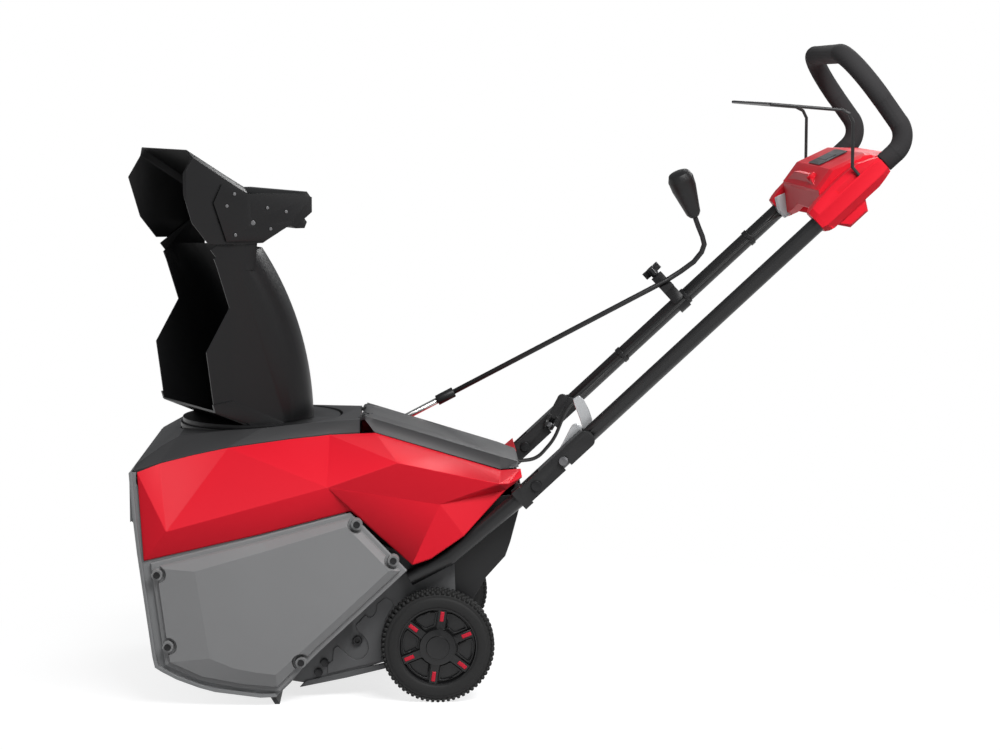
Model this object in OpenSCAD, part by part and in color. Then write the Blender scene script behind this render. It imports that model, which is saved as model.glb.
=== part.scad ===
// Battery-powered single-stage snow blower: auger housing, belt drive, rotating chute,
// folding handle and two wheels. The machine faces -X, its left side is -Y, and it stands on z = 0.

/* [Machine] */
// Distance from the wheel axle back to the middle of the machine
mid_from_axle = 137; // [100:1:180]
// Clear width between the auger housing's side walls
clear_width = 524; // [500:1:540]
// Thickness of the auger housing's side walls
side_wall = 4; // [3:0.5:5]
// Thickness of moulded shells
shell = 3; // [2:0.25:4]
// Gap between bodies that move past each other
gap = 0.5; // [0.3:0.05:0.8]
// Radial running clearance of a shaft in its bush
running = 0.05; // [0.02:0.01:0.1]

/* [Auger] */
// Height of the auger's axis
auger_z = 130; // [127:0.5:134]
// Distance of the auger's axis ahead of the wheel axle
auger_ahead = 383; // [375:1:390]
// Radius of the rubber paddles
paddle_r = 126; // [115:0.5:126]
// Radius of the steel spiral that carries the paddles
spiral_r = 82; // [60:1:90]
// Radius of the auger shaft
shaft_r = 10; // [8:0.5:13]
// Thickness of the rubber paddles
paddle_t = 8; // [5:0.5:12]
// Half width of the straight paddle in the middle
kicker_half = 46; // [35:1:60]
// Inner radius of the scroll behind the auger
scroll_r = 134; // [132:0.5:140]

/* [Drive] */
// Radius of the auger pulley
auger_pulley_r = 62; // [56:1:64]
// Radius of the motor pulley
motor_pulley_r = 20; // [16:1:26]
// Thickness of the drive belt
belt_t = 5; // [3:0.5:6]
// Width of the drive belt
belt_w = 11; // [8:0.5:12]
// Radius of the motor
motor_r = 42; // [34:1:46]
// Length of the motor
motor_len = 96; // [70:1:120]

/* [Covers] */
// Distance that the side covers stand out from the side walls
cover_depth = 24; // [22:0.5:30]
// Depth of the bevel round the covers' flat middle
cover_bevel = 9; // [5:0.5:12]

/* [Chute] */
// Distance of the chute's axis ahead of the wheel axle
chute_ahead = 324; // [318:1:330]
// Angle that the chute is turned to the machine's left at rest
chute_yaw = 28.8; // [0:0.2:40]
// Radius of the opening in the chute's base
throat_r = 86; // [80:1:90]
// Radius of the bearing ring on the deck
ring_r = 150; // [147:1:152]
// Width of the chute over its side walls
chute_w = 232; // [210:1:236]
// Radius of the arc that the chute's back follows
chute_arc_r = 567; // [560:1:580]
// Corner radius of the chute's section
chute_corner_r = 85; // [60:1:90]
// Number of teeth on the chute's ring gear
ring_teeth = 48; // [48:1:48]
// Number of teeth on the pinion
pinion_teeth = 16; // [16:1:16]
// Tooth pitch per turn: pitch diameter over teeth
tooth_module = 5; // [5:0.5:5]
// Outer width of the deflector hood
hood_w = 240; // [238:1:246]

/* [Wheels] */
// Outer diameter of the tyres
tyre_d = 203; // [196:1:206]
// Width of the tyres
tyre_w = 42; // [34:1:46]
// Distance between the outer faces of the tyres
track_w = 522; // [510:1:524]
// Radius of the axle
axle_r = 6; // [5:0.5:8]
// Number of spokes on a wheel
spokes = 6; // [5:1:7]

/* [Handle] */
// Diameter of the handle tube
tube_d = 28.6; // [25:0.1:32]
// Wall of the handle tube
tube_wall = 2; // [1.5:0.1:3]
// Distance between the two tubes' centre lines
handle_w = 468; // [460:1:472]
// Slope of the handle above level
handle_slope = 42.9; // [40:0.1:46]
// Distance of the fold pivot behind the wheel axle
pivot_back = 175; // [170:1:180]
// Height of the fold pivot
pivot_z = 390; // [385:1:395]
// Diameter of the foam grip
foam_d = 35; // [33:0.5:40]
// Length of the straight tube from the pivot to the first bend
straight_len = 861; // [850:1:870]
// Radius of the bend at the grip's knee
knee_r = 40; // [36:1:48]
// Angle of the grip's legs above level, measured from the rear
leg_angle = 126; // [122:1:130]
// Length of the grip's legs between their bends
leg_len = 49; // [40:1:60]
// Radius of the two bends at the grip's top
top_r = 100; // [90:1:104]
// Thickness of the joint's cheek plates
cheek_t = 3; // [2:0.5:4]

/* [Bail] */
// Diameter of the bail's rod
bail_d = 6; // [5:0.5:8]
// Width of the bail over its legs' centre lines
bail_w = 511; // [510:1:513]

/* [Chute lever] */
// Diameter of the lever's rod
rod_d = 10; // [8:0.5:12]

/* [Hidden] */
$fn = 64;

// Driving sizes turned into places. All of these are measured from the wheel axle.
axle_z = tyre_d / 2;
wall_in = clear_width / 2;
wall_out = wall_in + side_wall;
cover_out = wall_out + cover_depth;
auger_x = -auger_ahead;
chute_x = -chute_ahead;
motor_x = -165;
motor_z = 262;
belt_mid = wall_out + 8.8;
pulley_half = belt_w / 2 + 2;
tube_r = tube_d / 2;
tube_y = handle_w / 2;
wheel_out = track_w / 2;
wheel_in = wheel_out - tyre_w;
plate_out = wheel_in - 8;
plate_t = 5;
throat_top = 434;
gear_z = 436.5;
gear_t = 10;
collar_z = 452;
collar_top = 476;
flange_t = 8.5;
chute_z = collar_top + gap + flange_t;
chute_back = 82;
arc_x = chute_back - chute_arc_r;
arc_z = 480;
pitch_ring = ring_teeth * tooth_module / 2;
pitch_pinion = pinion_teeth * tooth_module / 2;
pinion_dir = 30;
pinion_x = chute_x + (pitch_ring + pitch_pinion) * cos(pinion_dir);
pinion_y = (pitch_ring + pitch_pinion) * sin(pinion_dir);
hood_pivot_u = 70;
hood_pivot_z = 850;
hood_pin_r = 5;
bail_r = bail_d / 2;

// ---------------------------------------------------------------- helpers

// Everything is drawn from the wheel axle and then placed about the machine's middle.
module place() translate([-mid_from_axle, 0, 0]) children();

module left_and_right() {
    children();
    mirror([0, 1, 0]) children();
}

// A side outline in X and Z, drawn across from y0 to y1.
module across(y0, y1) translate([0, y1, 0]) rotate([90, 0, 0]) linear_extrude(y1 - y0) children();

// A round bar between two points.
module bar(a, b, r) {
    d = b - a;
    translate(a) rotate([0, acos(d.z / norm(d)), atan2(d.y, d.x)]) cylinder(h = norm(d), r = r);
}

function arc(c, r, a0, a1, n) = [for (i = [0:n]) c + r * [cos(a0 + (a1 - a0) * i / n), sin(a0 + (a1 - a0) * i / n)]];
function unit(v) = v / norm(v);
function turn(p) = let (n = len(p)) [for (i = [0:n - 1]) cross(p[i], p[(i + 1) % n])] * [for (i = [0:n - 1]) 1];

// An outline moved inwards by d, with its corners kept.
function inset(p, d) = let (n = len(p), s = sign(turn(p)))
    [for (i = [0:n - 1]) let (
        u = unit(p[i] - p[(i + n - 1) % n]),
        v = unit(p[(i + 1) % n] - p[i]),
        nu = s * [-u.y, u.x],
        nv = s * [-v.y, v.x],
        m = unit(nu + nv)) p[i] + m * d / (m * nu)];

function volume(p, f) = [for (t = f) p[t[0]] * cross(p[t[1]], p[t[2]])] * [for (t = f) 1];
function flip(f) = [for (t = f) [for (i = [len(t) - 1:-1:0]) t[i]]];

// A closed skin over a row of like loops of points.
// With even, the third side is split along the same diagonal as the first, as a thin twisted blade needs.
module skin(loops, even = false) {
    n = len(loops[0]);
    m = len(loops);
    p = [for (l = loops) each l];
    walls = [for (j = [0:m - 2], i = [0:n - 1]) let (a = j * n + i, b = j * n + (i + 1) % n)
        each even && i == 2 ? [[a, a + n, b], [b, a + n, b + n]] : [[a, a + n, b + n], [a, b + n, b]]];
    caps = [[for (i = [0:n - 1]) i], [for (i = [n - 1:-1:0]) (m - 1) * n + i]];
    k = (m - 1) * n;
    fans = [for (i = [1:n - 2]) each [[0, i, i + 1], [k, k + i + 1, k + i]]];
    f = concat(walls, caps);
    polyhedron(p, volume(p, concat(walls, fans)) > 0 ? flip(f) : f, convexity = 8);
}

// A side outline at height y, as a loop of points.
function at_y(p, y) = [for (q = p) [q.x, y, q.y]];

// A folded sheet of facets, thickened inwards and downwards.
module thick_panel(p, facets, rim, t) {
    n = len(p);
    r = len(rim);
    pts = concat(p, [for (q = p) q + [0, t * 0.8, -t * 0.8]]);
    back = [for (k = facets) [k[2] + n, k[1] + n, k[0] + n]];
    edge = [for (i = [0:r - 1]) let (a = rim[i], b = rim[(i + 1) % r]) each [[a, b, b + n], [a, b + n, a + n]]];
    f = concat(facets, back, edge);
    polyhedron(pts, volume(pts, f) > 0 ? flip(f) : f, convexity = 8);
}

// ---------------------------------------------------------------- auger housing

wall_outline = [
    [-540, 420], [-534, 337], [-528, 278], [-518, 198], [-504, 90], [-500, 72], [-488, 64], [-462, 50],
    [-423, 35], [-395, 27], [-350, 21], [-315, 16], [-286, 17], [-262, 40], [-211, 102], [-62, 242],
    [-118, 310], [-156, 341], [-215, 396], [-240, 392], [-460, 333], [-486, 343], [-528, 400], [-528, 420]
];

function scroll(r, lift) = concat(
    [[-538, 330 + lift], [-430, 340 + lift], [auger_x + r, 340 + lift]],
    arc([auger_x, auger_z], r, 0, -50, 16));

module auger_axis() translate([auger_x, 0, auger_z]) rotate([90, 0, 0]) children();

module auger_housing() place() color("#8b8d90") difference() {
    union() {
        left_and_right() across(wall_in, wall_out) polygon(wall_outline);
        left_and_right() across(wall_out - 0.5, wall_out + 9) polygon(concat(
            [for (i = [0:12]) wall_outline[i]],
            [for (i = [12:-1:1]) inset(wall_outline, 6)[i]],
            [[-534, 420]]));
        difference() {
            across(-wall_in, wall_in) polygon(scroll(scroll_r + shell, shell));
            across(-wall_in - 1, wall_in + 1)
                polygon(concat([[-700, 330]], scroll(scroll_r, 0), [[-330, -60], [-700, -60]]));
        }
        across(-wall_in, wall_in) polygon([[-540.4, 331], [-540.4, 419], [-537, 419], [-534.5, 334]]);
        translate([chute_x, 0, 338]) cylinder(h = throat_top - 338, r = throat_r + shell);
        translate([chute_x, 0, throat_top - 4]) cylinder(h = 4, r = throat_r + 30);
    }
    translate([chute_x, 0, 300]) cylinder(h = 200, r = throat_r);
    auger_axis() cylinder(h = 700, r = bush_r, center = true);
    translate([motor_x, -wall_in, motor_z]) rotate([90, 0, 0]) cylinder(h = 30, r = motor_boss_r + 0.1, center = true);
}

bush_r = shaft_r + 7;
motor_boss_r = 14;

module auger_bearings() place() color("#3a3b3d") left_and_right() translate([auger_x, 0, auger_z])
    rotate([90, 0, 0]) difference() {
        union() {
            translate([0, 0, wall_in - 3]) cylinder(h = side_wall + 4, r = bush_r - 0.05);
            translate([0, 0, wall_in - 3]) cylinder(h = 3, r = bush_r + 7);
        }
        cylinder(h = 400, r = shaft_r + running);
    }

module scraper_bar() place() color("#1c1c1d") across(-wall_in + 2, wall_in - 2)
    polygon([[-303, 21.6], [-294.8, 24.5], [-281, 0], [-290, 0]]);

// ---------------------------------------------------------------- side covers and plates

cover_outline = [[-505, 259], [-311, 306], [-153, 347], [-54, 243], [-209, 99], [-281, 26], [-350, 33], [-420, 47], [-482, 76]];
cover_face = [[-419, 246], [-300, 282], [-160, 324], [-86, 247], [-232, 112], [-286, 62], [-320, 66], [-360, 74], [-400, 92]];
screw_places = [[-493, 240], [-476, 111], [-242, 81], [-142, 328], [-78, 263]];

module cover_form() {
    difference() {
        skin([
            at_y(cover_outline, -wall_out - 0.3),
            at_y(cover_outline, -cover_out + cover_bevel),
            at_y(cover_face, -cover_out)
        ]);
        skin([
            at_y(inset(cover_outline, shell), -wall_out + 1),
            at_y(inset(cover_outline, shell), -cover_out + cover_bevel + shell * 0.6),
            at_y(inset(cover_face, 2), -cover_out + shell)
        ]);
    }
}

module cover_with_bosses() difference() {
    union() {
        cover_form();
        for (q = screw_places) translate([q.x, -wall_out - 0.3, q.y]) rotate([90, 0, 0]) cylinder(h = boss_len, r = 9);
    }
    for (q = screw_places) translate([q.x, -wall_out, q.y]) rotate([90, 0, 0]) {
        cylinder(h = 60, r = 3.05, center = true);
        translate([0, 0, boss_len + 0.3]) cylinder(h = 30, r = 7);
    }
}

boss_len = cover_depth - 6;

module belt_cover() place() color("#8b8d90") cover_with_bosses();
module side_cover() place() color("#8b8d90") mirror([0, 1, 0]) cover_with_bosses();

module plate_form() {
    across(-plate_out, -plate_out + plate_t) difference() {
        polygon(concat(
            arc([auger_x, auger_z], scroll_r + shell + 0.3, -44, 2, 8),
            [[-244, 300], [-150, 300], [-60, 262], [30, 264], [34, 130]],
            arc([0, axle_z], 24, 20, -90, 6),
            [[-96, 64], [-181, 39], [-240, 27]]));
        translate([0, axle_z]) circle(r = axle_r + 0.05);
        translate([-144, 104]) circle(r = 7, $fn = 32);
        translate([motor_x, motor_z]) circle(r = motor_r + 1);
    }
}

module frame_plate_left() place() color("#4a4b4d") plate_form();
module frame_plate_right() place() color("#4a4b4d") mirror([0, 1, 0]) plate_form();

// ---------------------------------------------------------------- red side shells

shroud_points = [
    [-517, -270, 264], [-312, -270, 310.5], [-152, -270, 351.5], [-44, -262, 252], [-12, -258, 262],
    [47, -253, 302], [122, -214, 377], [152, -206, 399], [150, -190, 411], [154, -108, 398],
    [117, -112, 396], [6, -112, 430], [-112, -112, 466], [-194, -142, 467], [-263, -172, 464],
    [-316, -188, 459], [-372, -200, 453], [-431, -215, 443], [-490, -236, 431], [-526, -270, 421],
    [-475, -284, 317], [-193, -284, 394], [-69, -276, 436], [110, -240, 392], [128, -216, 388],
    [5, -246, 356]
];
shroud_facets = [
    [0, 19, 20], [19, 18, 20], [18, 17, 20], [17, 16, 20], [16, 21, 20], [16, 15, 21], [15, 14, 21],
    [14, 13, 21], [13, 22, 21], [13, 12, 22], [12, 11, 22], [11, 10, 23], [11, 23, 22], [10, 9, 23],
    [9, 8, 24], [9, 24, 23], [8, 7, 24], [7, 6, 24], [6, 23, 24], [6, 25, 23], [25, 22, 23],
    [25, 21, 22], [25, 3, 21], [3, 2, 21], [2, 1, 21], [1, 20, 21], [1, 0, 20], [6, 5, 25],
    [5, 4, 25], [4, 3, 25]
];

module shroud_form() thick_panel(shroud_points, shroud_facets, [for (i = [0:19]) i], shell);

module shroud_left() place() color("#d8101c") shroud_form();
module shroud_right() place() color("#d8101c") difference() {
    mirror([0, 1, 0]) shroud_form();
    bar(lever_base, lever_eye, rod_d / 2 + 3);
}

// ---------------------------------------------------------------- deck and lid

deck_stations = [
    // x, half width and height of the edge, half width and height of the top
    [-533, 259, 422, 240, 428],
    [-490, 231, 432, 190, 456],
    [-463, 222, 438, 160, 468],
    [-431, 210, 444, 155, 472],
    [-372, 195, 454, 154, 477],
    [-316, 183, 460, 157, 481],
    [-263, 167, 465, 142, 485],
    [-194, 137, 468, 112, 487],
    [-140, 114, 468, 95, 488]
];

// The deck's section, with a short skirt at each edge.
function deck_loop(s, d) = [
    [s[0], -s[1] + d, s[2] - 6], [s[0], -s[1] + d, s[2] - d], [s[0], -s[3] + d, s[4] - d],
    [s[0], s[3] - d, s[4] - d], [s[0], s[1] - d, s[2] - d], [s[0], s[1] - d, s[2] - 6]
];

// The deck's hollow at a station moved along by dx, open below.
function deck_hollow(s, dx) = let (l = deck_loop(s, shell))
    [for (k = [0:5]) l[k] + [dx, 0, k == 0 || k == 5 ? -5 : 0]];

hinge_x = -131;
hinge_z = 489;
hinge_pin_r = 3;
hinge_r = 6;

module hinge_ears() left_and_right() {
    translate([hinge_x, 70, hinge_z]) rotate([90, 0, 0]) cylinder(h = 10, r = hinge_r);
    translate([hinge_x - 12, 60, hinge_z - hinge_r]) cube([12, 10, 6]);
}

module top_deck() place() color("#4a4b4d") {
    difference() {
        skin([for (s = deck_stations) deck_loop(s, 0)]);
        skin([for (k = [0:8]) deck_hollow(deck_stations[k], k == 0 ? shell : k == 8 ? -shell : 0)]);
        translate([chute_x, 0, collar_z - 30]) cylinder(h = 90, r = ring_r + 0.6);
    }
    // Cup for the bearing ring, open in the middle for the chute's neck
    intersection() {
        translate([chute_x, 0, 0]) rotate_extrude() polygon([
            [throat_r + 9, collar_z - 4], [ring_r + 3.6, collar_z - 4], [ring_r + 3.6, 600], [ring_r + 0.6, 600],
            [ring_r + 0.6, collar_z], [throat_r + 9, collar_z]
        ]);
        skin([for (s = deck_stations) let (o = deck_loop(s, 0.2))
            [[s[0], o[0].y, 430], o[1], o[2], o[3], o[4], [s[0], o[5].y, 430]]]);
    }
    hinge_ears();
    translate([hinge_x, 0, hinge_z]) rotate([90, 0, 0]) cylinder(h = 180, r = hinge_pin_r, center = true);
}

lid_stations = [
    // x, half width and height of the top edge, half width and height of the skirt's foot
    [-130, 93, 494.5, 96, 487],
    [-113, 94, 489, 112, 467],
    [117, 93, 418, 112, 397.6],
    [150, 82, 407, 104, 400]
];

function lid_loop(s, d) = [
    [s[0], -s[3] + d, s[4]], [s[0], -s[1] + d, s[2] - d], [s[0], -s[1] / 2, s[2] + 3 - d],
    [s[0], s[1] / 2, s[2] + 3 - d], [s[0], s[1] - d, s[2] - d], [s[0], s[3] - d, s[4]]
];

// The lid's hollow, which leaves a wall at each end and opens downwards.
function lid_hollow(s, x) = let (l = lid_loop([x, s[1], s[2], s[3], s[4]], shell))
    concat([l[0] - [0, 0, 6]], [for (k = [1:4]) l[k]], [l[5] - [0, 0, 6]]);

module battery_lid() place() color("#4a4b4d") difference() {
    union() {
        difference() {
            skin([for (s = lid_stations) lid_loop(s, 0)]);
            skin([for (i = [0:3]) lid_hollow(lid_stations[i], lid_stations[i][0] + [shell, 0, 0, -shell][i])]);
        }
        left_and_right() {
            translate([hinge_x, 57, hinge_z]) rotate([90, 0, 0]) cylinder(h = 30, r = hinge_r);
            translate([hinge_x, 27, hinge_z]) cube([14, 30, 5]);
        }
    }
    translate([hinge_x, 0, hinge_z]) rotate([90, 0, 0]) cylinder(h = 180, r = hinge_pin_r + running, center = true);
    left_and_right() translate([hinge_x - 9, 59, hinge_z - 12]) cube([17, 12, 30]);
}

// ---------------------------------------------------------------- rear cover and what it holds

belly = [
    [150, 390], [146, 338], [131, 281], [122, 255], [87, 216], [64, 177], [30, 160], [-90, 160],
    [-200, 175], [-236, 200], [-236, 330], [-150, 330], [-120, 372], [110, 382]
];
belly_half = plate_out - plate_t - 0.3;

module rear_cover() place() color("#1f2022") difference() {
    across(-belly_half, belly_half) polygon(belly);
    across(-belly_half + shell, belly_half - shell) polygon(inset(belly, shell));
    across(-belly_half - 1, belly_half + 1) polygon([
        [-300, 318], [-300, 600], [300, 600], [300, 386], [139, 386], [135, 366], [-110, 352], [-140, 318]]);
    translate([motor_x, -150, motor_z]) rotate([90, 0, 0]) cylinder(h = 100, r = motor_r + 1);
}

tray_half = 96;
bay_front = -110;
bay_rear = 118;
bay_floor = 300;

module battery_tray() place() color("#1f2022") difference() {
    union() {
        across(-tray_half, tray_half)
            polygon([[bay_front, bay_floor], [bay_front, 462], [bay_rear, 392.2], [bay_rear, bay_floor]]);
        across(-108.7, 108.7) polygon([[bay_front, 458.6], [bay_front, 462], [bay_rear, 392.2], [bay_rear, 388.8]]);
    }
    across(-tray_half + shell, tray_half - shell) polygon([
        [bay_front + shell, bay_floor + shell], [bay_front + shell, 500],
        [bay_rear - shell, 500], [bay_rear - shell, bay_floor + shell]]);
}

module battery_form() {
    translate([-96, 0, bay_floor + shell + gap]) {
        translate([0, 10, 0]) cube([176, 74, 48]);
        translate([12, 14, 48]) cube([120, 66, 30]);
        translate([24, 26, 78]) cube([76, 42, 8]);
    }
}

module battery_left() place() color("#c4121c") mirror([0, 1, 0]) battery_form();
module battery_right() place() color("#c4121c") battery_form();

module motor() place() color("#5c5e61") translate([motor_x, -wall_in + 0.3, motor_z]) rotate([-90, 0, 0]) difference() {
    union() {
        cylinder(h = motor_len, r = motor_r - 3);
        for (k = [0:23]) rotate([0, 0, k * 15]) translate([motor_r - 5, -1.5, 8]) cube([5, 3, motor_len - 16]);
        translate([0, 0, -side_wall - 0.3]) cylinder(h = 6, r = motor_boss_r);
        translate([0, 0, 0]) cylinder(h = 6, r = motor_r);
    }
    translate([0, 0, -10]) cylinder(h = motor_len + 4, r = 5 + running);
}

module motor_controller() place() color("#2b2c2e") {
    translate([-92, -75, 163.4]) cube([118, 150, 34]);
    for (k = [0:9]) translate([-90 + k * 12, -69, 197]) cube([4, 138, 12]);
}

module drive_belt() place() color("#1c1c1d") {
    a = [auger_x, auger_z];
    b = [motor_x, motor_z];
    ra = auger_pulley_r + 0.4;
    rb = motor_pulley_r + 0.4;
    translate([0, -belt_mid, 0]) difference() {
        across(-belt_w / 2, belt_w / 2) belt_loop(a, b, ra + belt_t, rb + belt_t);
        across(-belt_w, belt_w) belt_loop(a, b, ra, rb);
    }
}

// The outline of a belt round two pulleys.
module belt_loop(a, b, ra, rb) {
    d = norm(b - a);
    w = atan2(b.y - a.y, b.x - a.x);
    k = acos((ra - rb) / d);
    polygon(concat(arc(a, ra, w + k, w + 360 - k, 48), arc(b, rb, w - k, w + k, 20)));
}

// ---------------------------------------------------------------- axle and lower handle

module axle() place() color("#8f9194") translate([0, 0, axle_z]) rotate([90, 0, 0])
    cylinder(h = track_w - 8, r = axle_r, center = true);

handle_dir = [cos(handle_slope), 0, sin(handle_slope)];
handle_up = [-sin(handle_slope), 0, cos(handle_slope)];

// Places children at the fold pivot, with X along the handle and Z square to it.
module at_pivot(y) translate([pivot_back, y, pivot_z]) rotate([0, -handle_slope, 0]) children();

bracket_knee = [20, 258];
bracket_toe = [-50, 222];

module bracket_form() {
    low = [pivot_back, -tube_y, pivot_z] - 20 * handle_dir;
    knee = [bracket_knee.x, -tube_y, bracket_knee.y];
    toe = [bracket_toe.x, -tube_y, bracket_toe.y];
    bar(low, knee, tube_r);
    translate(knee) sphere(r = tube_r + 0.2);
    bar(knee, toe, tube_r);
    for (q = [[-36, 229], [10, 253]]) translate([q.x, -plate_out, q.y])
        rotate([90, 0, 0]) cylinder(h = tube_y - plate_out, r = 9);
    difference() {
        at_pivot(-tube_y) {
            for (s = [-1, 1]) translate([-42, s * (cheek_in + cheek_t / 2) - cheek_t / 2, -19]) cube([178, cheek_t, 38]);
            translate([20, -cheek_in - 0.1, tube_r + gap]) cube([116, 2 * cheek_in + 0.2, cheek_t]);
            translate([-42, -cheek_in - 0.1, -17]) cube([23, 2 * cheek_in + 0.2, 34]);
        }
        at_pivot(-tube_y) rotate([90, 0, 0]) cylinder(h = 80, r = 5 + running, center = true);
        at_pivot(-tube_y) translate([cam_s - 7.8, -30, -40]) cube([13.4, 60, 40]);
        at_pivot(-tube_y) translate([cam_s, 0, 0]) rotate([90, 0, 0]) cylinder(h = 80, r = 5.6, center = true);
    }
}

cheek_in = tube_r + gap;
cam_s = 65.3;

module handle_bracket_left() place() color("#1f2022") bracket_form();
module handle_bracket_right() place() color("#1f2022") mirror([0, 1, 0]) bracket_form();

// ---------------------------------------------------------------- chute base and drive

module chute_base() place() color("#1f2022") translate([chute_x, 0, collar_z]) difference() {
    union() {
        cylinder(h = collar_top - collar_z, r = ring_r - 2);
        cylinder(h = 6, r = ring_r);
        translate([0, 0, collar_top - collar_z - 8]) cylinder(h = 8, r = ring_r);
    }
    translate([0, 0, -1]) cylinder(h = 40, r = throat_r + 9);
    translate([0, 0, 6]) difference() {
        cylinder(h = 30, r = ring_r - 6);
        translate([0, 0, -1]) cylinder(h = 40, r = throat_r + 14);
    }
}

module gear(teeth, t, bore, phase) {
    pr = teeth * tooth_module / 2;
    add = tooth_module * 0.8;
    ded = tooth_module * 1.0;
    half = 360 / teeth / 4;
    difference() {
        linear_extrude(t) polygon([for (k = [0:teeth - 1]) let (a = phase + k * 360 / teeth) each [
            (pr - ded) * [cos(a - half * 1.45), sin(a - half * 1.45)],
            pr * [cos(a - half * 0.88), sin(a - half * 0.88)],
            (pr + add) * [cos(a - half * 0.42), sin(a - half * 0.42)],
            (pr + add) * [cos(a + half * 0.42), sin(a + half * 0.42)],
            pr * [cos(a + half * 0.88), sin(a + half * 0.88)],
            (pr - ded) * [cos(a + half * 1.45), sin(a + half * 1.45)]]]);
        translate([0, 0, -1]) cylinder(h = t + 2, r = bore);
    }
}

neck_r = throat_r + 5;

module chute_ring_gear() place() color("#2b2c2e") translate([chute_x, 0, gear_z])
    gear(ring_teeth, gear_t, neck_r + 0.1, pinion_dir);

module chute_pinion() place() color("#8f9194") translate([pinion_x, pinion_y, gear_z]) {
    gear(pinion_teeth, gear_t, 6, pinion_dir + 180 + 180 / pinion_teeth);
    translate([0, 0, -20]) cylinder(h = 30, r = 8);
}

lever_base = [-130, 131, 423];
lever_eye = [437, 194, 711];
lever_dir = (lever_eye - lever_base) / norm(lever_eye - lever_base);

module chute_gearbox() place() color("#5c5e61") difference() {
    translate([pinion_x - 26, pinion_y - 30, 372]) cube([92, 88, 60]);
    translate([pinion_x, pinion_y, 400]) cylinder(h = 60, r = 8 + running);
    bar(lever_base - 30 * lever_dir, lever_base + 100 * lever_dir, rod_d / 2 + 1 + running);
}

// ---------------------------------------------------------------- screws

module cover_screws() place() color("#1c1c1d") {
    left_and_right() for (q = screw_places) translate([q.x, -wall_out - 0.3, q.y]) rotate([90, 0, 0]) {
        cylinder(h = boss_len + 2, r = 3);
        translate([0, 0, boss_len]) cylinder(h = 2.6, r = 6);
    }
    left_and_right() for (q = [[-203, 64], [-214, 46]]) translate([q.x, -plate_out - 0.1, q.y])
        rotate([90, 0, 0]) cylinder(h = 6, r = 8, $fn = 6);
    left_and_right() at_pivot(-tube_y) rotate([90, 0, 0]) {
        cylinder(h = 2 * (cheek_in + cheek_t) + 4, r = 5, center = true);
        for (s = [-1, 1]) translate([0, 0, s * (cheek_in + cheek_t + 2.3)]) cylinder(h = 4, r = 9, center = true);
    }
}

// ---------------------------------------------------------------- auger and drive wheels

module auger_shaft() place() color("#8f9194") auger_axis() {
    translate([0, 0, -wall_in - 2]) cylinder(h = 2 * wall_in + 2 + belt_mid - wall_in + pulley_half, r = shaft_r);
    cylinder(h = 2 * wall_in - 20, r = shaft_r + 4, center = true);
}

// A pair of blades, t thick, that run straight across the middle and then wind out to each wall.
module blades(r0, r1, t) {
    len = wall_in - kicker_half - 8;
    slant = norm([1, (r0 + r1) / 2 * spiral_turn * PI / 180 / len]);
    w = t * slant / 2;
    stations = concat([for (i = [-20:0]) [i, -kicker_half]], [for (i = [0:20]) [i, kicker_half]]);
    for (k = [0, 180]) skin([for (s = stations) let (a = k + spiral_turn * abs(s[0]) / 20)
        [for (q = [[r0, -w], [r1, -w], [r1, w], [r0, w]])
            [q.x * cos(a) - q.y * sin(a), q.x * sin(a) + q.y * cos(a), s[1] + len * s[0] / 20]]], even = true);
}

spiral_turn = 200;

module auger_spiral() place() color("#9a9da0") auger_axis() blades(shaft_r + 4.5, spiral_r, 3);

module auger_paddles() place() color("#1c1c1d") auger_axis() blades(spiral_r + 0.9, paddle_r, paddle_t);

module pulley(r, bore) difference() {
    union() {
        cylinder(h = 2 * pulley_half, r = r, center = true);
        for (s = [-1, 1]) translate([0, 0, s * (pulley_half - 0.75)]) cylinder(h = 1.5, r = r + 4, center = true);
    }
    cylinder(h = 100, r = bore, center = true);
}

module auger_pulley() place() color("#5c5e61") translate([auger_x, -belt_mid, auger_z]) rotate([90, 0, 0]) difference() {
    pulley(auger_pulley_r, shaft_r + 0.05);
    for (k = [0:5]) rotate([0, 0, k * 60]) translate([auger_pulley_r * 0.6, 0, 0]) cylinder(h = 60, r = 14, center = true);
}

module motor_pulley() place() color("#8f9194") translate([motor_x, -belt_mid, motor_z]) rotate([90, 0, 0]) {
    pulley(motor_pulley_r, 4);
    translate([0, 0, -motor_len * 0.8]) cylinder(h = motor_len * 0.8 + pulley_half, r = 5);
}

// ---------------------------------------------------------------- chute

// Chute pieces are drawn straight ahead: the chute's front is -X, z is height.
module at_chute() place() translate([chute_x, 0, 0]) rotate([0, 0, chute_yaw]) children();

function ahead(p) = [for (q = p) [-q.x, q.y]];

module chute_section(w, corner, reach) {
    half = w / 2;
    flat = half - corner;
    translate([250, -half]) square([reach - corner - 250, w]);
    translate([reach - corner - 1, -flat]) square([corner + 1, 2 * flat]);
    for (s = [-1, 1]) translate([reach - corner, s * flat]) circle(r = corner, $fn = 96);
}

module chute_sweep(w, corner, reach) translate([arc_x, 0, arc_z]) rotate([90, 0, 0])
    rotate_extrude(angle = 42, $fn = 180) chute_section(w, corner, reach);

chute_outline = ahead([
    [-100, 486], [85, 486], [147, 514], [161, 621], [115, 698], [138, 772], [150, 803], [17, 800],
    [-100, 760]
]);

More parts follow.
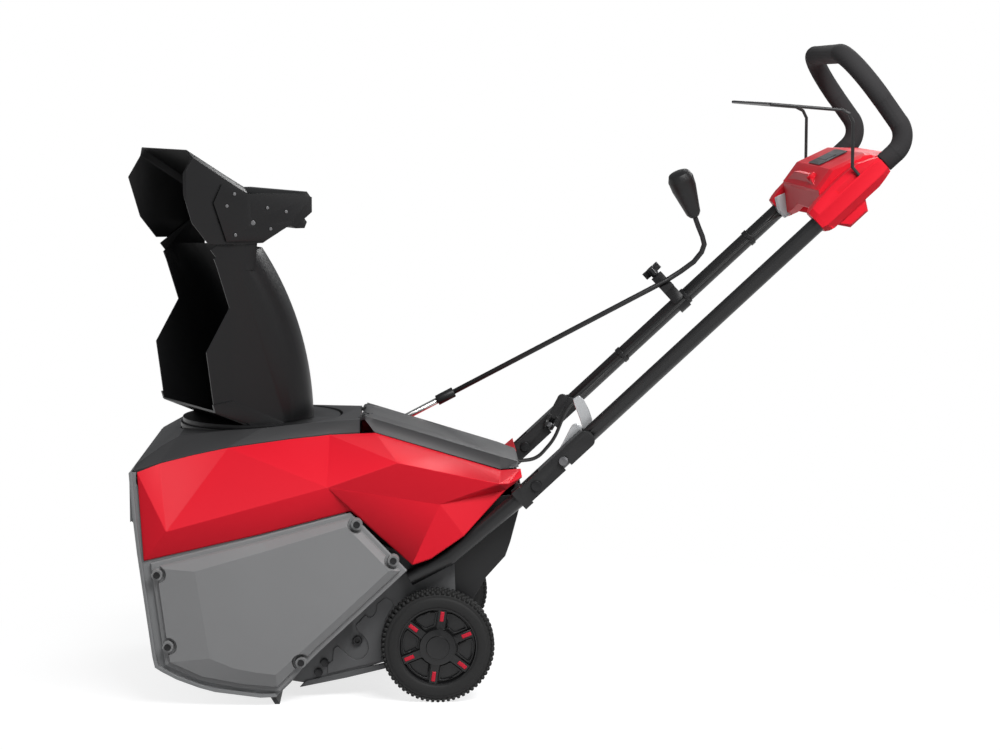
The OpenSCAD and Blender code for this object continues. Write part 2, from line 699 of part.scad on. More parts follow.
module chute_shell() at_chute() color("#1f2022") difference() {
    union() {
        intersection() {
            difference() {
                chute_sweep(chute_w, chute_corner_r, chute_arc_r);
                chute_sweep(chute_w - 2 * shell, chute_corner_r - shell, chute_arc_r - shell);
            }
            across(-chute_w, chute_w) polygon(chute_outline);
        }
        // Ears for the deflector's pivot
        left_and_right() across(chute_w / 2 - shell, chute_w / 2) {
            polygon(ahead([[150, 803], [120, 765], [64, 765], [hood_pivot_u - 14, hood_pivot_z], [hood_pivot_u + 14, hood_pivot_z]]));
            translate([-hood_pivot_u, hood_pivot_z]) circle(r = 14, $fn = 48);
        }
        // Thick rim along the foot of each side
        left_and_right() across(chute_w / 2 - shell, chute_w / 2 + 4)
            polygon(ahead([[147, 512], [151, 526], [111, 531], [12, 486], [12, 478.5], [70, 479], [86, 490]]));
        // Lip that closes the front of the foot
        across(-chute_w / 2, chute_w / 2) polygon(ahead([[84, chute_z - 1], [147, 511], [147, 515], [80, chute_z + 1]]));
        translate([0, 0, collar_top + gap]) cylinder(h = flange_t, r = ring_r - 4);
        translate([0, 0, gear_z]) cylinder(h = collar_top + gap - gear_z + 1, r = neck_r);
        // Rib down the middle of the back
        intersection() {
            difference() {
                chute_sweep(26, 6, chute_arc_r + 5);
                chute_sweep(chute_w - 2 * shell, chute_corner_r - shell, chute_arc_r - shell);
            }
            across(-20, 20) polygon(ahead([[-120, 690], [60, 690], [60, 788], [-120, 788]]));
        }
    }
    translate([0, 0, gear_z - 1]) cylinder(h = 60, r = throat_r);
    across(-chute_w / 2 + shell, chute_w / 2 - shell) polygon(ahead([[0, 487], [78, 487], [170, 529], [40, 529], [0, 500]]));
    left_and_right() translate([-hood_pivot_u, chute_w / 2, hood_pivot_z]) rotate([90, 0, 0])
        cylinder(h = 30, r = hood_pin_r + running, center = true);
}

hood_side = ahead([[156, 814], [187, 853], [209, 926], [183, 967], [111, 921], [79, 902], [30, 840], [8, 800], [46, 812]]);
hood_mid = ahead([[156, 814], [187, 853], [209, 926], [188, 981], [111, 933], [79, 914], [30, 840], [8, 800], [46, 812]]);
hood_in_side = ahead([[12, 700], [400, 700], [400, 1102], [111, 917.3], [80.5, 899], [33, 838.5], [12, 799]]);
hood_in_mid = ahead([[12, 700], [400, 700], [400, 1118], [111, 929.3], [80.5, 911], [33, 838.5], [12, 799]]);

module deflector_hood() at_chute() color("#1f2022") difference() {
    h = hood_w / 2;
    skin([at_y(hood_side, -h), at_y(hood_mid, -h + 18), at_y(hood_mid, h - 18), at_y(hood_side, h)]);
    skin([at_y(hood_in_side, -h + shell), at_y(hood_in_mid, -h + 19), at_y(hood_in_mid, h - 19), at_y(hood_in_side, h - shell)]);
    left_and_right() translate([-hood_pivot_u, h, hood_pivot_z]) rotate([90, 0, 0])
        cylinder(h = 40, r = hood_pin_r + running, center = true);
}

cheek_outline = ahead([
    [131, 919], [147, 887], [123, 818], [46, 817], [1, 842], [-15, 842], [-46, 866], [-46, 893],
    [-20, 900], [79, 902], [111, 917]
]);

module deflector_grip() at_chute() color("#1f2022") {
    h = hood_w / 2 + 0.3;
    difference() {
        left_and_right() across(-h - 4, -h) polygon(cheek_outline);
        left_and_right() translate([-hood_pivot_u, h, hood_pivot_z]) rotate([90, 0, 0])
            cylinder(h = 40, r = hood_pin_r + running, center = true);
        translate([8, 0, 850]) rotate([90, 0, 0]) cylinder(h = 400, r = 2.5 + running, center = true);
    }
    across(-h - 0.1, h + 0.1) polygon(ahead([[-46, 866], [-48, 890], [-38, 903], [-20, 903], [-12, 894], [-14, 862], [-38, 862]]));
}

deflector_screw_places = [[107, 902], [122, 881], [106, 829], [43, 876], [6, 868], [37, 838]];

module deflector_screws() at_chute() color("#8f9194") left_and_right() {
    for (q = deflector_screw_places) translate([-q.x, -hood_w / 2 - 4.35, q.y]) rotate([90, 0, 0]) cylinder(h = 1.6, r = 3, $fn = 24);
    translate([-hood_pivot_u, -chute_w / 2 + 4, hood_pivot_z]) rotate([90, 0, 0]) cylinder(h = (hood_w - chute_w) / 2 + 7, r = hood_pin_r);
}

module deflector_trigger() at_chute() color("#2b2c2e") {
    across(-hood_w / 2 + 0.1, hood_w / 2 - 0.1)
        polygon(ahead([[-2, 855], [-33, 855], [-38, 848], [-33, 837], [-16, 837], [-2, 845]]));
    translate([8, 0, 850]) rotate([90, 0, 0]) cylinder(h = hood_w + 8, r = 2.5, center = true);
}

// ---------------------------------------------------------------- chute lever

module lever_shaft() place() color("#8f9194") bar(lever_base, lever_base + 164 * lever_dir, rod_d / 2 + 1);

module lever_coupling() place() color("#1f2022") difference() {
    bar(lever_base + 150 * lever_dir, lever_base + 186 * lever_dir, rod_d / 2 + 5);
    bar(lever_base + 140 * lever_dir, lever_base + 164.3 * lever_dir, rod_d / 2 + 1.05);
    bar(lever_base + 164.3 * lever_dir, lever_base + 190 * lever_dir, rod_d / 2 + 0.05);
}

lever_bend = [[448, 195.2, 716.6], [477, 198, 735], [501, 198, 754], [515, 197, 774], [519, 196, 790], [514, 196, 806], [504, 195, 827], [496, 195, 846]];

// The chute rests turned a little, so the lever rests leaning by half as much.
module leaning() translate(lever_eye) rotate(a = 14.4, v = lever_dir) translate(-lever_eye) children();

module lever_rod() place() color("#1f2022") leaning() {
    bar(lever_base + 164.4 * lever_dir, lever_bend[0], rod_d / 2);
    for (i = [0:len(lever_bend) - 2]) {
        bar(lever_bend[i], lever_bend[i + 1], rod_d / 2);
        translate(lever_bend[i]) sphere(r = rod_d / 2 + 0.1);
    }
}

module lever_knob() place() color("#1f2022") leaning() translate([496, 195, 846]) rotate([0, -24, 0]) difference() {
    rotate_extrude() polygon([[0, 0.5], [9, 0.5], [14, 8], [18, 30], [24, 62], [25, 82], [20, 94], [8, 97], [0, 97]]);
}

// ---------------------------------------------------------------- upper handle

// The handle's centre line: straight tubes, the knee bends, the grip's legs and the top bar.
// The bends are a shade thicker, and the straights run 1 mm into them.
bend_step = 0.3;
module handle_path(r, from) {
    knee_turn = leg_angle - handle_slope;
    left_and_right() at_pivot(-tube_y) {
        translate([from, 0, 0]) rotate([0, 90, 0]) cylinder(h = straight_len - from + 1, r = r);
        translate([straight_len, 0, knee_r]) rotate([90, 0, 0]) rotate([0, 0, -90])
            rotate_extrude(angle = knee_turn) translate([knee_r, 0]) circle(r = r + bend_step);
        translate([straight_len, 0, knee_r]) rotate([0, -knee_turn, 0]) translate([0, 0, -knee_r]) {
            translate([-1, 0, 0]) rotate([0, 90, 0]) cylinder(h = leg_len + 2, r = r);
            translate([leg_len, top_r, 0]) rotate([0, 0, -90]) rotate_extrude(angle = 90) translate([top_r, 0]) circle(r = r + bend_step);
        }
    }
    at_pivot(0) translate([straight_len, 0, knee_r]) rotate([0, -knee_turn, 0]) translate([leg_len + top_r, 0, -knee_r])
        rotate([90, 0, 0]) cylinder(h = 2 * (tube_y - top_r) + 2, r = r, center = true);
}

module handle_tube() place() color("#1f2022") difference() {
    handle_path(tube_r, -6);
    handle_path(tube_r - tube_wall, -7);
    left_and_right() at_pivot(-tube_y) rotate([90, 0, 0]) cylinder(h = 60, r = 5 + running, center = true);
    left_and_right() at_pivot(-tube_y) translate([cam_s, 0, 0]) rotate([90, 0, 0])
        cylinder(h = 60, r = stud_r + running, center = true);
}

stud_r = 4;
cam_y = 28.5;

// The clamp studs that the cam levers turn on, with a nut at their outer end.
module clamp_studs() place() color("#8f9194") left_and_right() at_pivot(-tube_y) translate([cam_s, 0, 0]) {
    translate([0, -24, 0]) rotate([-90, 0, 0]) cylinder(h = 24 + cam_y - 5, r = stud_r);
    translate([0, -24, 0]) rotate([-90, 0, 0]) cylinder(h = 24 - cheek_in - cheek_t - 0.3, r = 8);
    rotate([0, -20, 0]) difference() {
        translate([-4.5, cam_y - 6, -4.5]) cube([9, 11, 9]);
        translate([0, cam_y, 0]) cylinder(h = 30, r = 2.5 + running, center = true);
    }
}

module cam_form() at_pivot(-tube_y) translate([cam_s, cam_y, 0]) rotate([0, -20, 0]) {
    cylinder(h = 20, r = 2.5, center = true);
    for (s = [-1, 1]) translate([0, 0, s * 7.5]) {
        cylinder(h = 5, r = 8.5, center = true);
        translate([0, -5, -2.5]) cube([20, 10, 5]);
    }
    translate([14, -5, -10]) cube([42, 7, 20]);
    translate([56, -1.5, 0]) rotate([90, 0, 0]) cylinder(h = 7, r = 10, center = true);
}

module cam_lever_left() place() color("#b9bbbd") cam_form();
module cam_lever_right() place() color("#b9bbbd") mirror([0, 1, 0]) cam_form();

foam_start = straight_len - 26;

module foam_grip() place() color("#3a3b3d") difference() {
    handle_path(foam_d / 2, foam_start);
    handle_path(tube_r + 0.05, foam_start - 5);
}

// The switch box and bail are measured back from the end of the straight tubes.
module at_box(y) at_pivot(y) translate([straight_len, 0, 0]) children();

pod_in = tube_y - 25;
pod_out = max(bail_w / 2 + 6.5, tube_y + tube_r + 9);
pod_side = [
    [-185, -18], [-185, 26], [-161, 31], [-98, 36], [-61, 31], [-29, 17], [-29, -16], [-61, -23],
    [-89, -24], [-101, -43], [-149, -43], [-161, -38], [-167, -23]
];
dash_side = [[-145, 14], [-145, 44], [-101, 52], [-35, 32], [7, -8], [-3, -22], [-91, -26], [-125, -16]];
bail_s = -76;
bail_n = 5;
button_at = [-123, -96, 22];

module switch_housing() place() color("#d8101c") {
    difference() {
        union() {
            left_and_right() at_box(0) across(-pod_out, -pod_in) polygon(pod_side);
            at_box(0) across(-pod_in - 0.1, pod_in + 0.1) polygon(dash_side);
        }
        left_and_right() at_pivot(-tube_y) rotate([0, 90, 0]) cylinder(h = straight_len + 40, r = tube_r + running);
        left_and_right() at_box(0) translate([bail_s - 48, -bail_w / 2 - 4, bail_n - 11]) cube([95, 8, 70]);
        at_box(0) across(-pod_in + 30, pod_in - 30) polygon(inset(dash_side, shell));
        at_box(0) translate(button_at) cylinder(h = 60, r = 9.4);
    }
    left_and_right() at_box(0) translate([bail_s, -bail_w / 2 - 5.5, bail_n]) rotate([-90, 0, 0]) cylinder(h = 11, r = 3);
    at_box(0) translate(button_at) difference() {
        cylinder(h = 23, r = 12);
        translate([0, 0, 10]) cylinder(h = 30, r = 9.4);
    }
}

module display_panel() place() color("#2b2c2e") at_box(0) across(-62, 62)
    polygon([[-95, 50.5], [-41, 34.1], [-40.4, 36], [-94.4, 52.4]]);

module light_lenses() place() color("#cfd3d6") left_and_right() at_box(0)
    across(-pod_in + 0.05, -pod_in + 5) polygon([[-184, -17], [-184, 25], [-164, 29], [-150, 8], [-165, -20]]);

module start_button() place() color("#1c1c1d") at_box(0) translate(button_at + [0, 0, 14]) cylinder(h = 19, r = 9);

bail_path = [[-75.7, 10.1], [-74.1, 35.9], [-21, 93.1], [-16.6, 108.1], [-22.1, 122.7], [-105.4, 213.8]];

module bail() place() color("#1f2022") at_box(0) {
    left_and_right() bail_leg();
    bar(on_bail(bail_path[5], -bail_w / 2), on_bail(bail_path[5], bail_w / 2), bail_r);
}

function on_bail(p, y) = [p.x, y, p.y];

module bail_leg() {
    translate([bail_s, -bail_w / 2, bail_n]) rotate([90, 0, 0]) difference() {
        cylinder(h = 7, r = 7, center = true);
        cylinder(h = 20, r = 3 + running, center = true);
    }
    for (i = [0:4]) bar(on_bail(bail_path[i], -bail_w / 2), on_bail(bail_path[i + 1], -bail_w / 2), bail_r);
    for (i = [1:5]) translate(on_bail(bail_path[i], -bail_w / 2)) sphere(r = bail_r + 0.1);
}

clamp_s = 416;
cradle_y = tube_y - 194;

// The lever's rod rests on a sloping shelf, clear below the post that holds the wing knob.
lever_pitch = asin(lever_dir.z);
lever_bearing = atan2(lever_dir.y, lever_dir.x);
stud_y = -9;

module rod_bracket() place() color("#1f2022") difference() {
    at_pivot(tube_y) translate([clamp_s, 0, 0]) difference() {
        union() {
            rotate([0, 90, 0]) cylinder(h = 24, r = 20, center = true);
            translate([-12, stud_y - 9, 0]) cube([24, 17, 70]);
            translate([-12, -cradle_y - 12, 38]) cube([24, 35, 24]);
        }
        rotate([0, 90, 0]) cylinder(h = 60, r = tube_r + running, center = true);
        translate([0, stud_y, 30]) cylinder(h = 60, r = 3 + running);
    }
    translate(lever_eye) rotate([0, -lever_pitch, lever_bearing])
        translate([-90, -30, -rod_d / 2 - 0.3]) cube([180, 52, 60]);
}

module clamp_knob() place() color("#1f2022") at_pivot(tube_y) translate([clamp_s, stud_y, 0]) {
    translate([0, 0, 34]) cylinder(h = 40, r = 3);
    translate([0, 0, 71]) cylinder(h = 10, r = 8);
    for (k = [0:2]) rotate([0, 0, k * 120 + 30]) {
        translate([0, -4, 75]) cube([17, 8, 14]);
        translate([17, 0, 75]) cylinder(h = 14, r = 4);
    }
    translate([0, 0, 75]) cylinder(h = 15, r = 8);
}

// Two cables run up the right tube from the rear cover to the switch box.
harness_paths = [
    [[152, 182, 366], [197, 184, 371], [231, 187, 410], [254, 189, 468], [340, 203, 546], [600, 203, 790], [652, 206, 838], [667.8, 213.5, 850.8]],
    [[152, 174, 366], [197, 176, 371], [231, 179, 410], [254, 181, 468], [340, 195, 546], [600, 195, 790], [652, 198, 834], [674, 213.5, 842.8]]
];

module harness_cables() place() color("#1c1c1d") for (p = harness_paths) {
    for (i = [0:len(p) - 2]) bar(p[i], p[i + 1], 3);
    for (i = [1:len(p) - 2]) translate(p[i]) sphere(r = 3.1);
}

// ---------------------------------------------------------------- wheels

rim_r = 70;
tread_t = 14;

module tyre_form() translate([0, -wheel_out, axle_z]) rotate([-90, 0, 0]) difference() {
    rotate_extrude($fn = 144) polygon([
        [rim_r + 0.05, 2], [rim_r + 6, 0], [88, 0], [98, 3], [axle_z, 7], [axle_z, tyre_w - 7],
        [98, tyre_w - 3], [88, tyre_w], [rim_r + 6, tyre_w], [rim_r + 0.05, tyre_w - 2]
    ]);
    for (k = [0:29]) rotate([0, 0, k * 12]) {
        translate([axle_z - 5, -4.5, -1]) cube([20, 9, tyre_w / 2 + 4]);
        rotate([0, 0, 6]) translate([axle_z - 5, -4.5, tyre_w / 2 - 3]) cube([20, 9, tyre_w / 2 + 4]);
    }
}

module rim_form() translate([0, -wheel_out, axle_z]) rotate([-90, 0, 0]) difference() {
    union() {
        rotate_extrude() polygon([
            [0, 3], [axle_r + running, 3], [axle_r + running, tyre_w + 6], [18, tyre_w + 6], [18, 24], [30, 18],
            [64, 22], [64, tyre_w - 4], [rim_r, tyre_w - 2.5], [rim_r, 2.5], [68, 3], [66, 14], [33, 13],
            [32, -2], [21, -2], [20, -5], [0, -5]
        ]);
        at_spokes() translate([30, -7, 5]) cube([37, 14, 11]);
    }
    at_spokes() translate([45.9, -3.6, 0]) cube([18.2, 7.2, 8]);
}

module at_spokes() for (k = [0:spokes - 1]) rotate([0, 0, k * 360 / spokes - 22]) children();

module insert_form() translate([0, -wheel_out, axle_z]) rotate([-90, 0, 0])
    at_spokes() translate([46, -3.5, 3.6]) cube([18, 7, 4.4]);

module tyre_left() place() color("#1c1c1d") tyre_form();
module tyre_right() place() color("#1c1c1d") mirror([0, 1, 0]) tyre_form();
module wheel_rim_left() place() color("#1f2022") rim_form();
module wheel_rim_right() place() color("#1f2022") mirror([0, 1, 0]) rim_form();
module wheel_inserts_left() place() color("#d8101c") insert_form();
module wheel_inserts_right() place() color("#d8101c") mirror([0, 1, 0]) insert_form();

auger_housing();
scraper_bar();
belt_cover();
side_cover();
frame_plate_left();
frame_plate_right();
shroud_left();
shroud_right();
top_deck();
rear_cover();
battery_tray();
battery_left();
battery_right();
motor();
motor_controller();
drive_belt();
axle();
handle_bracket_left();
handle_bracket_right();
chute_base();
chute_gearbox();
cover_screws();
auger_bearings();
auger_shaft();
auger_spiral();
auger_paddles();
auger_pulley();
motor_pulley();
chute_shell();
chute_ring_gear();
chute_pinion();
deflector_hood();
deflector_grip();
deflector_screws();
deflector_trigger();
lever_shaft();
lever_coupling();
lever_rod();
lever_knob();
handle_tube();
clamp_studs();
foam_grip();
switch_housing();
display_panel();
light_lenses();
rod_bracket();
harness_cables();
bail();
start_button();
cam_lever_left();
cam_lever_right();
clamp_knob();
battery_lid();
tyre_left();
wheel_rim_left();
wheel_inserts_left();
tyre_right();
wheel_rim_right();
wheel_inserts_right();
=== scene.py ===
import math

import bmesh
import bpy
from mathutils import Matrix, Vector


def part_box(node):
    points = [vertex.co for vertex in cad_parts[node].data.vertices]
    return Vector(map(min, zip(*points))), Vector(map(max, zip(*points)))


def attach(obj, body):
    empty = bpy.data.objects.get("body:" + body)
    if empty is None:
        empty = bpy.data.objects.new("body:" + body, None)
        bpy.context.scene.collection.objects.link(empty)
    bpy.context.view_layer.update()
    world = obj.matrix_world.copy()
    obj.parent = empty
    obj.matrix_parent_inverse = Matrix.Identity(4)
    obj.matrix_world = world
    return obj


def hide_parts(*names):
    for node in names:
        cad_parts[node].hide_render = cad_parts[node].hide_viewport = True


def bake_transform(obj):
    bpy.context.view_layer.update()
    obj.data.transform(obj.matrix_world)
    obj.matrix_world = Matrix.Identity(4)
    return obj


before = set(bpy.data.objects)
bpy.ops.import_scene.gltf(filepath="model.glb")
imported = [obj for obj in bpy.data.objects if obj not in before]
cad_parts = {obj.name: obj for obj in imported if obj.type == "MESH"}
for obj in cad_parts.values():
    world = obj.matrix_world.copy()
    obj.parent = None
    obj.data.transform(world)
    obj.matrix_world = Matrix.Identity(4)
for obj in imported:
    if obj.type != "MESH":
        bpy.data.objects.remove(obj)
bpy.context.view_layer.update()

# ---------------------------------------------------------------- camera
# A long lens at about waist height, a little ahead of square to the machine's left side.


def placed(name, data):
    """A new object in the scene for a mesh, a camera or a lamp."""
    thing = bpy.data.objects.new(name, data)
    bpy.context.collection.objects.link(thing)
    return thing


bearing, height_angle, distance = math.radians(-1.91), math.radians(6.9), 4.5
aim = Vector((-0.0177, 0.0, 0.5572))
back = Vector((
    math.sin(bearing) * math.cos(height_angle),
    -math.cos(bearing) * math.cos(height_angle),
    math.sin(height_angle),
))
camera = placed("camera", bpy.data.cameras.new("camera"))
camera.data.lens = 86.9
camera.data.sensor_width = 36.0
camera.data.clip_end = 60.0
camera.location = aim + back * distance
camera.rotation_euler = (-back).to_track_quat("-Z", "Y").to_euler()
bpy.context.scene.camera = camera
bpy.context.scene.view_settings.view_transform = "Standard"

# ---------------------------------------------------------------- studio floor
# A plain white sweep. What the camera and shiny surfaces see of it is paler than
# the light that it throws back on the machine.
ground = bpy.data.materials.new("studio floor")
ground.use_nodes = True
g = ground.node_tree
g.nodes.clear()
out = g.nodes.new("ShaderNodeOutputMaterial")
matt = g.nodes.new("ShaderNodeBsdfDiffuse")
matt.inputs["Color"].default_value = (0.34, 0.34, 0.345, 1)
glow = g.nodes.new("ShaderNodeEmission")
glow.inputs["Color"].default_value = (1, 1, 1, 1)
glow.inputs["Strength"].default_value = 0.76
both = g.nodes.new("ShaderNodeAddShader")
pick = g.nodes.new("ShaderNodeMixShader")
path = g.nodes.new("ShaderNodeLightPath")
seen = g.nodes.new("ShaderNodeMath")
seen.operation = "MAXIMUM"
seen_too = g.nodes.new("ShaderNodeMath")
seen_too.operation = "MAXIMUM"
g.links.new(path.outputs["Is Camera Ray"], seen.inputs[0])
g.links.new(path.outputs["Is Glossy Ray"], seen.inputs[1])
g.links.new(seen.outputs[0], seen_too.inputs[0])
g.links.new(path.outputs["Is Transmission Ray"], seen_too.inputs[1])
g.links.new(matt.outputs[0], both.inputs[0])
g.links.new(glow.outputs[0], both.inputs[1])
g.links.new(seen_too.outputs[0], pick.inputs[0])
g.links.new(matt.outputs[0], pick.inputs[1])
g.links.new(both.outputs[0], pick.inputs[2])
# Away from the machine the seen floor fades into the white of the room.
spot = g.nodes.new("ShaderNodeTexCoord")
reach = g.nodes.new("ShaderNodeVectorMath")
reach.operation = "LENGTH"
fade = g.nodes.new("ShaderNodeMapRange")
fade.inputs["From Min"].default_value = 0.45
fade.inputs["From Max"].default_value = 1.1
white = g.nodes.new("ShaderNodeEmission")
white.inputs["Strength"].default_value = 1.0
faded = g.nodes.new("ShaderNodeMixShader")
far = g.nodes.new("ShaderNodeMath")
far.operation = "MULTIPLY"
g.links.new(spot.outputs["Object"], reach.inputs[0])
g.links.new(reach.outputs["Value"], fade.inputs["Value"])
g.links.new(fade.outputs["Result"], far.inputs[0])
g.links.new(seen_too.outputs[0], far.inputs[1])
g.links.new(far.outputs[0], faded.inputs[0])
g.links.new(pick.outputs[0], faded.inputs[1])
g.links.new(white.outputs[0], faded.inputs[2])
g.links.new(faded.outputs[0], out.inputs["Surface"])
floor_mesh = bpy.data.meshes.new("floor")
floor_mesh.from_pydata([(-14, -14, 0), (14, -14, 0), (14, 14, 0), (-14, 14, 0)], [], [(0, 1, 2, 3)])
floor_mesh.materials.append(ground)
placed("floor", floor_mesh)

# ---------------------------------------------------------------- studio light
# A pale room, one large soft box high on the left, one low in front and a strip behind.
room = bpy.data.worlds.new("room")
bpy.context.scene.world = room
room.use_nodes = True
w = room.node_tree
w.nodes.clear()
sky_out = w.nodes.new("ShaderNodeOutputWorld")
shown = w.nodes.new("ShaderNodeBackground")
shown.inputs["Strength"].default_value = 1.0
thrown = w.nodes.new("ShaderNodeBackground")
thrown.inputs["Color"].default_value = (0.95, 0.97, 1.0, 1)
thrown.inputs["Strength"].default_value = 0.25
shown.inputs["Color"].default_value = (1, 1, 1, 1)
sky_pick = w.nodes.new("ShaderNodeMixShader")
sky_path = w.nodes.new("ShaderNodeLightPath")
sky_seen = w.nodes.new("ShaderNodeMath")
sky_seen.operation = "MAXIMUM"
w.links.new(sky_path.outputs["Is Camera Ray"], sky_seen.inputs[0])
w.links.new(sky_path.outputs["Is Transmission Ray"], sky_seen.inputs[1])
w.links.new(sky_seen.outputs[0], sky_pick.inputs[0])
w.links.new(thrown.outputs[0], sky_pick.inputs[1])
w.links.new(shown.outputs[0], sky_pick.inputs[2])
w.links.new(sky_pick.outputs[0], sky_out.inputs["Surface"])
lit = Vector((-0.1, 0, 0.45))
for name, place, size, power in (
    ("soft box high", (0.9, -2.2, 3.1), (2.2, 1.3), 150.0),
    ("soft box front", (-3.2, -1.2, 1.9), (1.2, 1.4), 9.0),
    ("strip behind", (1.8, 2.6, 2.4), (2.6, 0.7), 50.0),
    ("soft box rear", (3.2, -1.4, 1.9), (1.2, 1.4), 16.0),
):
    lamp = bpy.data.lights.new(name, "AREA")
    lamp.shape = "RECTANGLE"
    lamp.size, lamp.size_y = size
    lamp.energy = power
    stand = placed(name, lamp)
    stand.location = place
    stand.rotation_euler = (lit - Vector(place)).to_track_quat("-Z", "Y").to_euler()

# ---------------------------------------------------------------- auger housing
# Pressed and welded steel sheet: two side walls, the rolled scroll behind the auger and
# the throat, in mid-grey powder coat. Its cut edges are rounded over by the paint.


def moulded_surface():
    """The skin of paint or moulded plastic: a fine grain, and slow changes of tone and gloss."""
    group = bpy.data.node_groups.new("moulded surface", "ShaderNodeTree")
    face = group.interface
    face.new_socket("Color", in_out="INPUT", socket_type="NodeSocketColor")
    for label, value in (
        ("Grain size", 900.0), ("Gloss", 0.4), ("Gloss change", 0.08), ("Tone change", 0.12),
    ):
        face.new_socket(label, in_out="INPUT", socket_type="NodeSocketFloat").default_value = value
    for label, kind in (
        ("Color", "NodeSocketColor"), ("Roughness", "NodeSocketFloat"), ("Height", "NodeSocketFloat"),
    ):
        face.new_socket(label, in_out="OUTPUT", socket_type=kind)
    n, link = group.nodes, group.links.new
    got, gives = n.new("NodeGroupInput"), n.new("NodeGroupOutput")
    place = n.new("ShaderNodeTexCoord")
    grain = n.new("ShaderNodeTexNoise")
    grain.inputs["Detail"].default_value = 2.0
    link(place.outputs["Object"], grain.inputs["Vector"])
    link(got.outputs["Grain size"], grain.inputs["Scale"])
    cloud = n.new("ShaderNodeTexNoise")
    cloud.inputs["Scale"].default_value = 7.0
    cloud.inputs["Detail"].default_value = 5.0
    link(place.outputs["Object"], cloud.inputs["Vector"])
    centred = n.new("ShaderNodeMath")
    centred.operation = "SUBTRACT"
    centred.inputs[1].default_value = 0.5
    link(cloud.outputs["Fac"], centred.inputs[0])
    for label, amount, base in (("Roughness", "Gloss change", "Gloss"), ("tone", "Tone change", None)):
        part = n.new("ShaderNodeMath")
        part.operation = "MULTIPLY_ADD"
        link(centred.outputs[0], part.inputs[0])
        link(got.outputs[amount], part.inputs[1])
        if base:
            link(got.outputs[base], part.inputs[2])
            link(part.outputs[0], gives.inputs[label])
        else:
            part.inputs[2].default_value = 1.0
            toned = n.new("ShaderNodeVectorMath")
            toned.operation = "SCALE"
            link(got.outputs["Color"], toned.inputs[0])
            link(part.outputs[0], toned.inputs["Scale"])
            link(toned.outputs[0], gives.inputs["Color"])
    link(grain.outputs["Fac"], gives.inputs["Height"])
    return group


surface_group = moulded_surface()


def finish(name, colour, gloss, grain=900.0, depth=0.15, metal=0.0, tone=0.12, gloss_change=0.08, shine=0.5):
    """A paint or plastic in its own colour, with the moulded surface's grain."""
    made = bpy.data.materials.new(name)
    made.use_nodes = True
    t = made.node_tree
    skin = t.nodes["Principled BSDF"]
    skin.inputs["Metallic"].default_value = metal
    skin.inputs["Specular IOR Level"].default_value = shine
    grp = t.nodes.new("ShaderNodeGroup")
    grp.node_tree = surface_group
    grp.inputs["Color"].default_value = (*colour, 1)
    grp.inputs["Grain size"].default_value = grain
    grp.inputs["Gloss"].default_value = gloss
    grp.inputs["Gloss change"].default_value = gloss_change
    grp.inputs["Tone change"].default_value = tone
    bump = t.nodes.new("ShaderNodeBump")
    bump.inputs["Strength"].default_value = depth
    bump.inputs["Distance"].default_value = 0.0006
    t.links.new(grp.outputs["Color"], skin.inputs["Base Color"])
    t.links.new(grp.outputs["Roughness"], skin.inputs["Roughness"])
    t.links.new(grp.outputs["Height"], bump.inputs["Height"])
    t.links.new(bump.outputs["Normal"], skin.inputs["Normal"])
    return made


def shown_as_plain(obj):
    """The object with its modifiers worked into its mesh."""
    scene_now = bpy.context.evaluated_depsgraph_get()
    mesh = bpy.data.meshes.new_from_object(obj.evaluated_get(scene_now))
    obj.modifiers.clear()
    obj.data = mesh
    return obj


def meshed(name, work):
    """A mesh from a bmesh, which is freed."""
    mesh = bpy.data.meshes.new(name)
    work.to_mesh(mesh)
    work.free()
    return mesh


def carved(piece, tool_mesh, operation, use_self=False):
    """The piece joined with, cut by or cut back to another mesh."""
    tool = placed("tool", tool_mesh)
    cut = piece.modifiers.new("cut", "BOOLEAN")
    cut.operation = operation
    cut.solver = "EXACT"
    cut.use_self = use_self
    cut.object = tool
    shown_as_plain(piece)
    bpy.data.objects.remove(tool)


def eased_edges(piece, width, steps, angle):
    """The piece with every edge sharper than an angle in degrees rounded over."""
    edge = piece.modifiers.new("edges", "BEVEL")
    edge.width = width
    edge.segments = steps
    edge.limit_method = "ANGLE"
    edge.angle_limit = math.radians(angle)
    edge.harden_normals = True
    shown_as_plain(piece)


def flattened(work):
    """The bmesh with the edges between faces that lie in one plane taken out."""
    bmesh.ops.dissolve_limit(work, angle_limit=math.radians(0.8), verts=work.verts, edges=work.edges)
    return work


def lofted(loops):
    """A closed mesh through loops of points, with a flat end at each."""
    work = bmesh.new()
    rings = [[work.verts.new(p) for p in loop] for loop in loops]
    count = len(rings[0])
    for here, there in zip(rings, rings[1:]):
        for i in range(count):
            j = (i + 1) % count
            work.faces.new((here[i], here[j], there[j], there[i]))
    work.faces.new(rings[0])
    work.faces.new(rings[-1])
    bmesh.ops.recalc_face_normals(work, faces=work.faces)
    return work


def rounded(node, body, material, width=0.0012, steps=2, angle=30.0, trim=None):
    """A node's own shape with its sharp edges rounded over, as moulding, paint or wear leaves them.
    Where trim is given, the shape is cut back to that mesh first."""
    work = bmesh.new()
    work.from_mesh(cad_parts[node].data)
    bmesh.ops.remove_doubles(work, verts=work.verts, dist=1e-5)
    mesh = meshed(node + "_skin", flattened(work))
    mesh.shade_smooth()
    piece = placed(node + "_skin", mesh)
    if trim:
        carved(piece, trim, "INTERSECT", use_self=True)
        work = bmesh.new()
        work.from_mesh(piece.data)
        flattened(work).to_mesh(piece.data)
        work.free()
        piece.data.shade_smooth()
    eased_edges(piece, width, steps, angle)
    piece.data.materials.clear()
    piece.data.materials.append(material)
    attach(piece, body)
    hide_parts(node)
    return piece


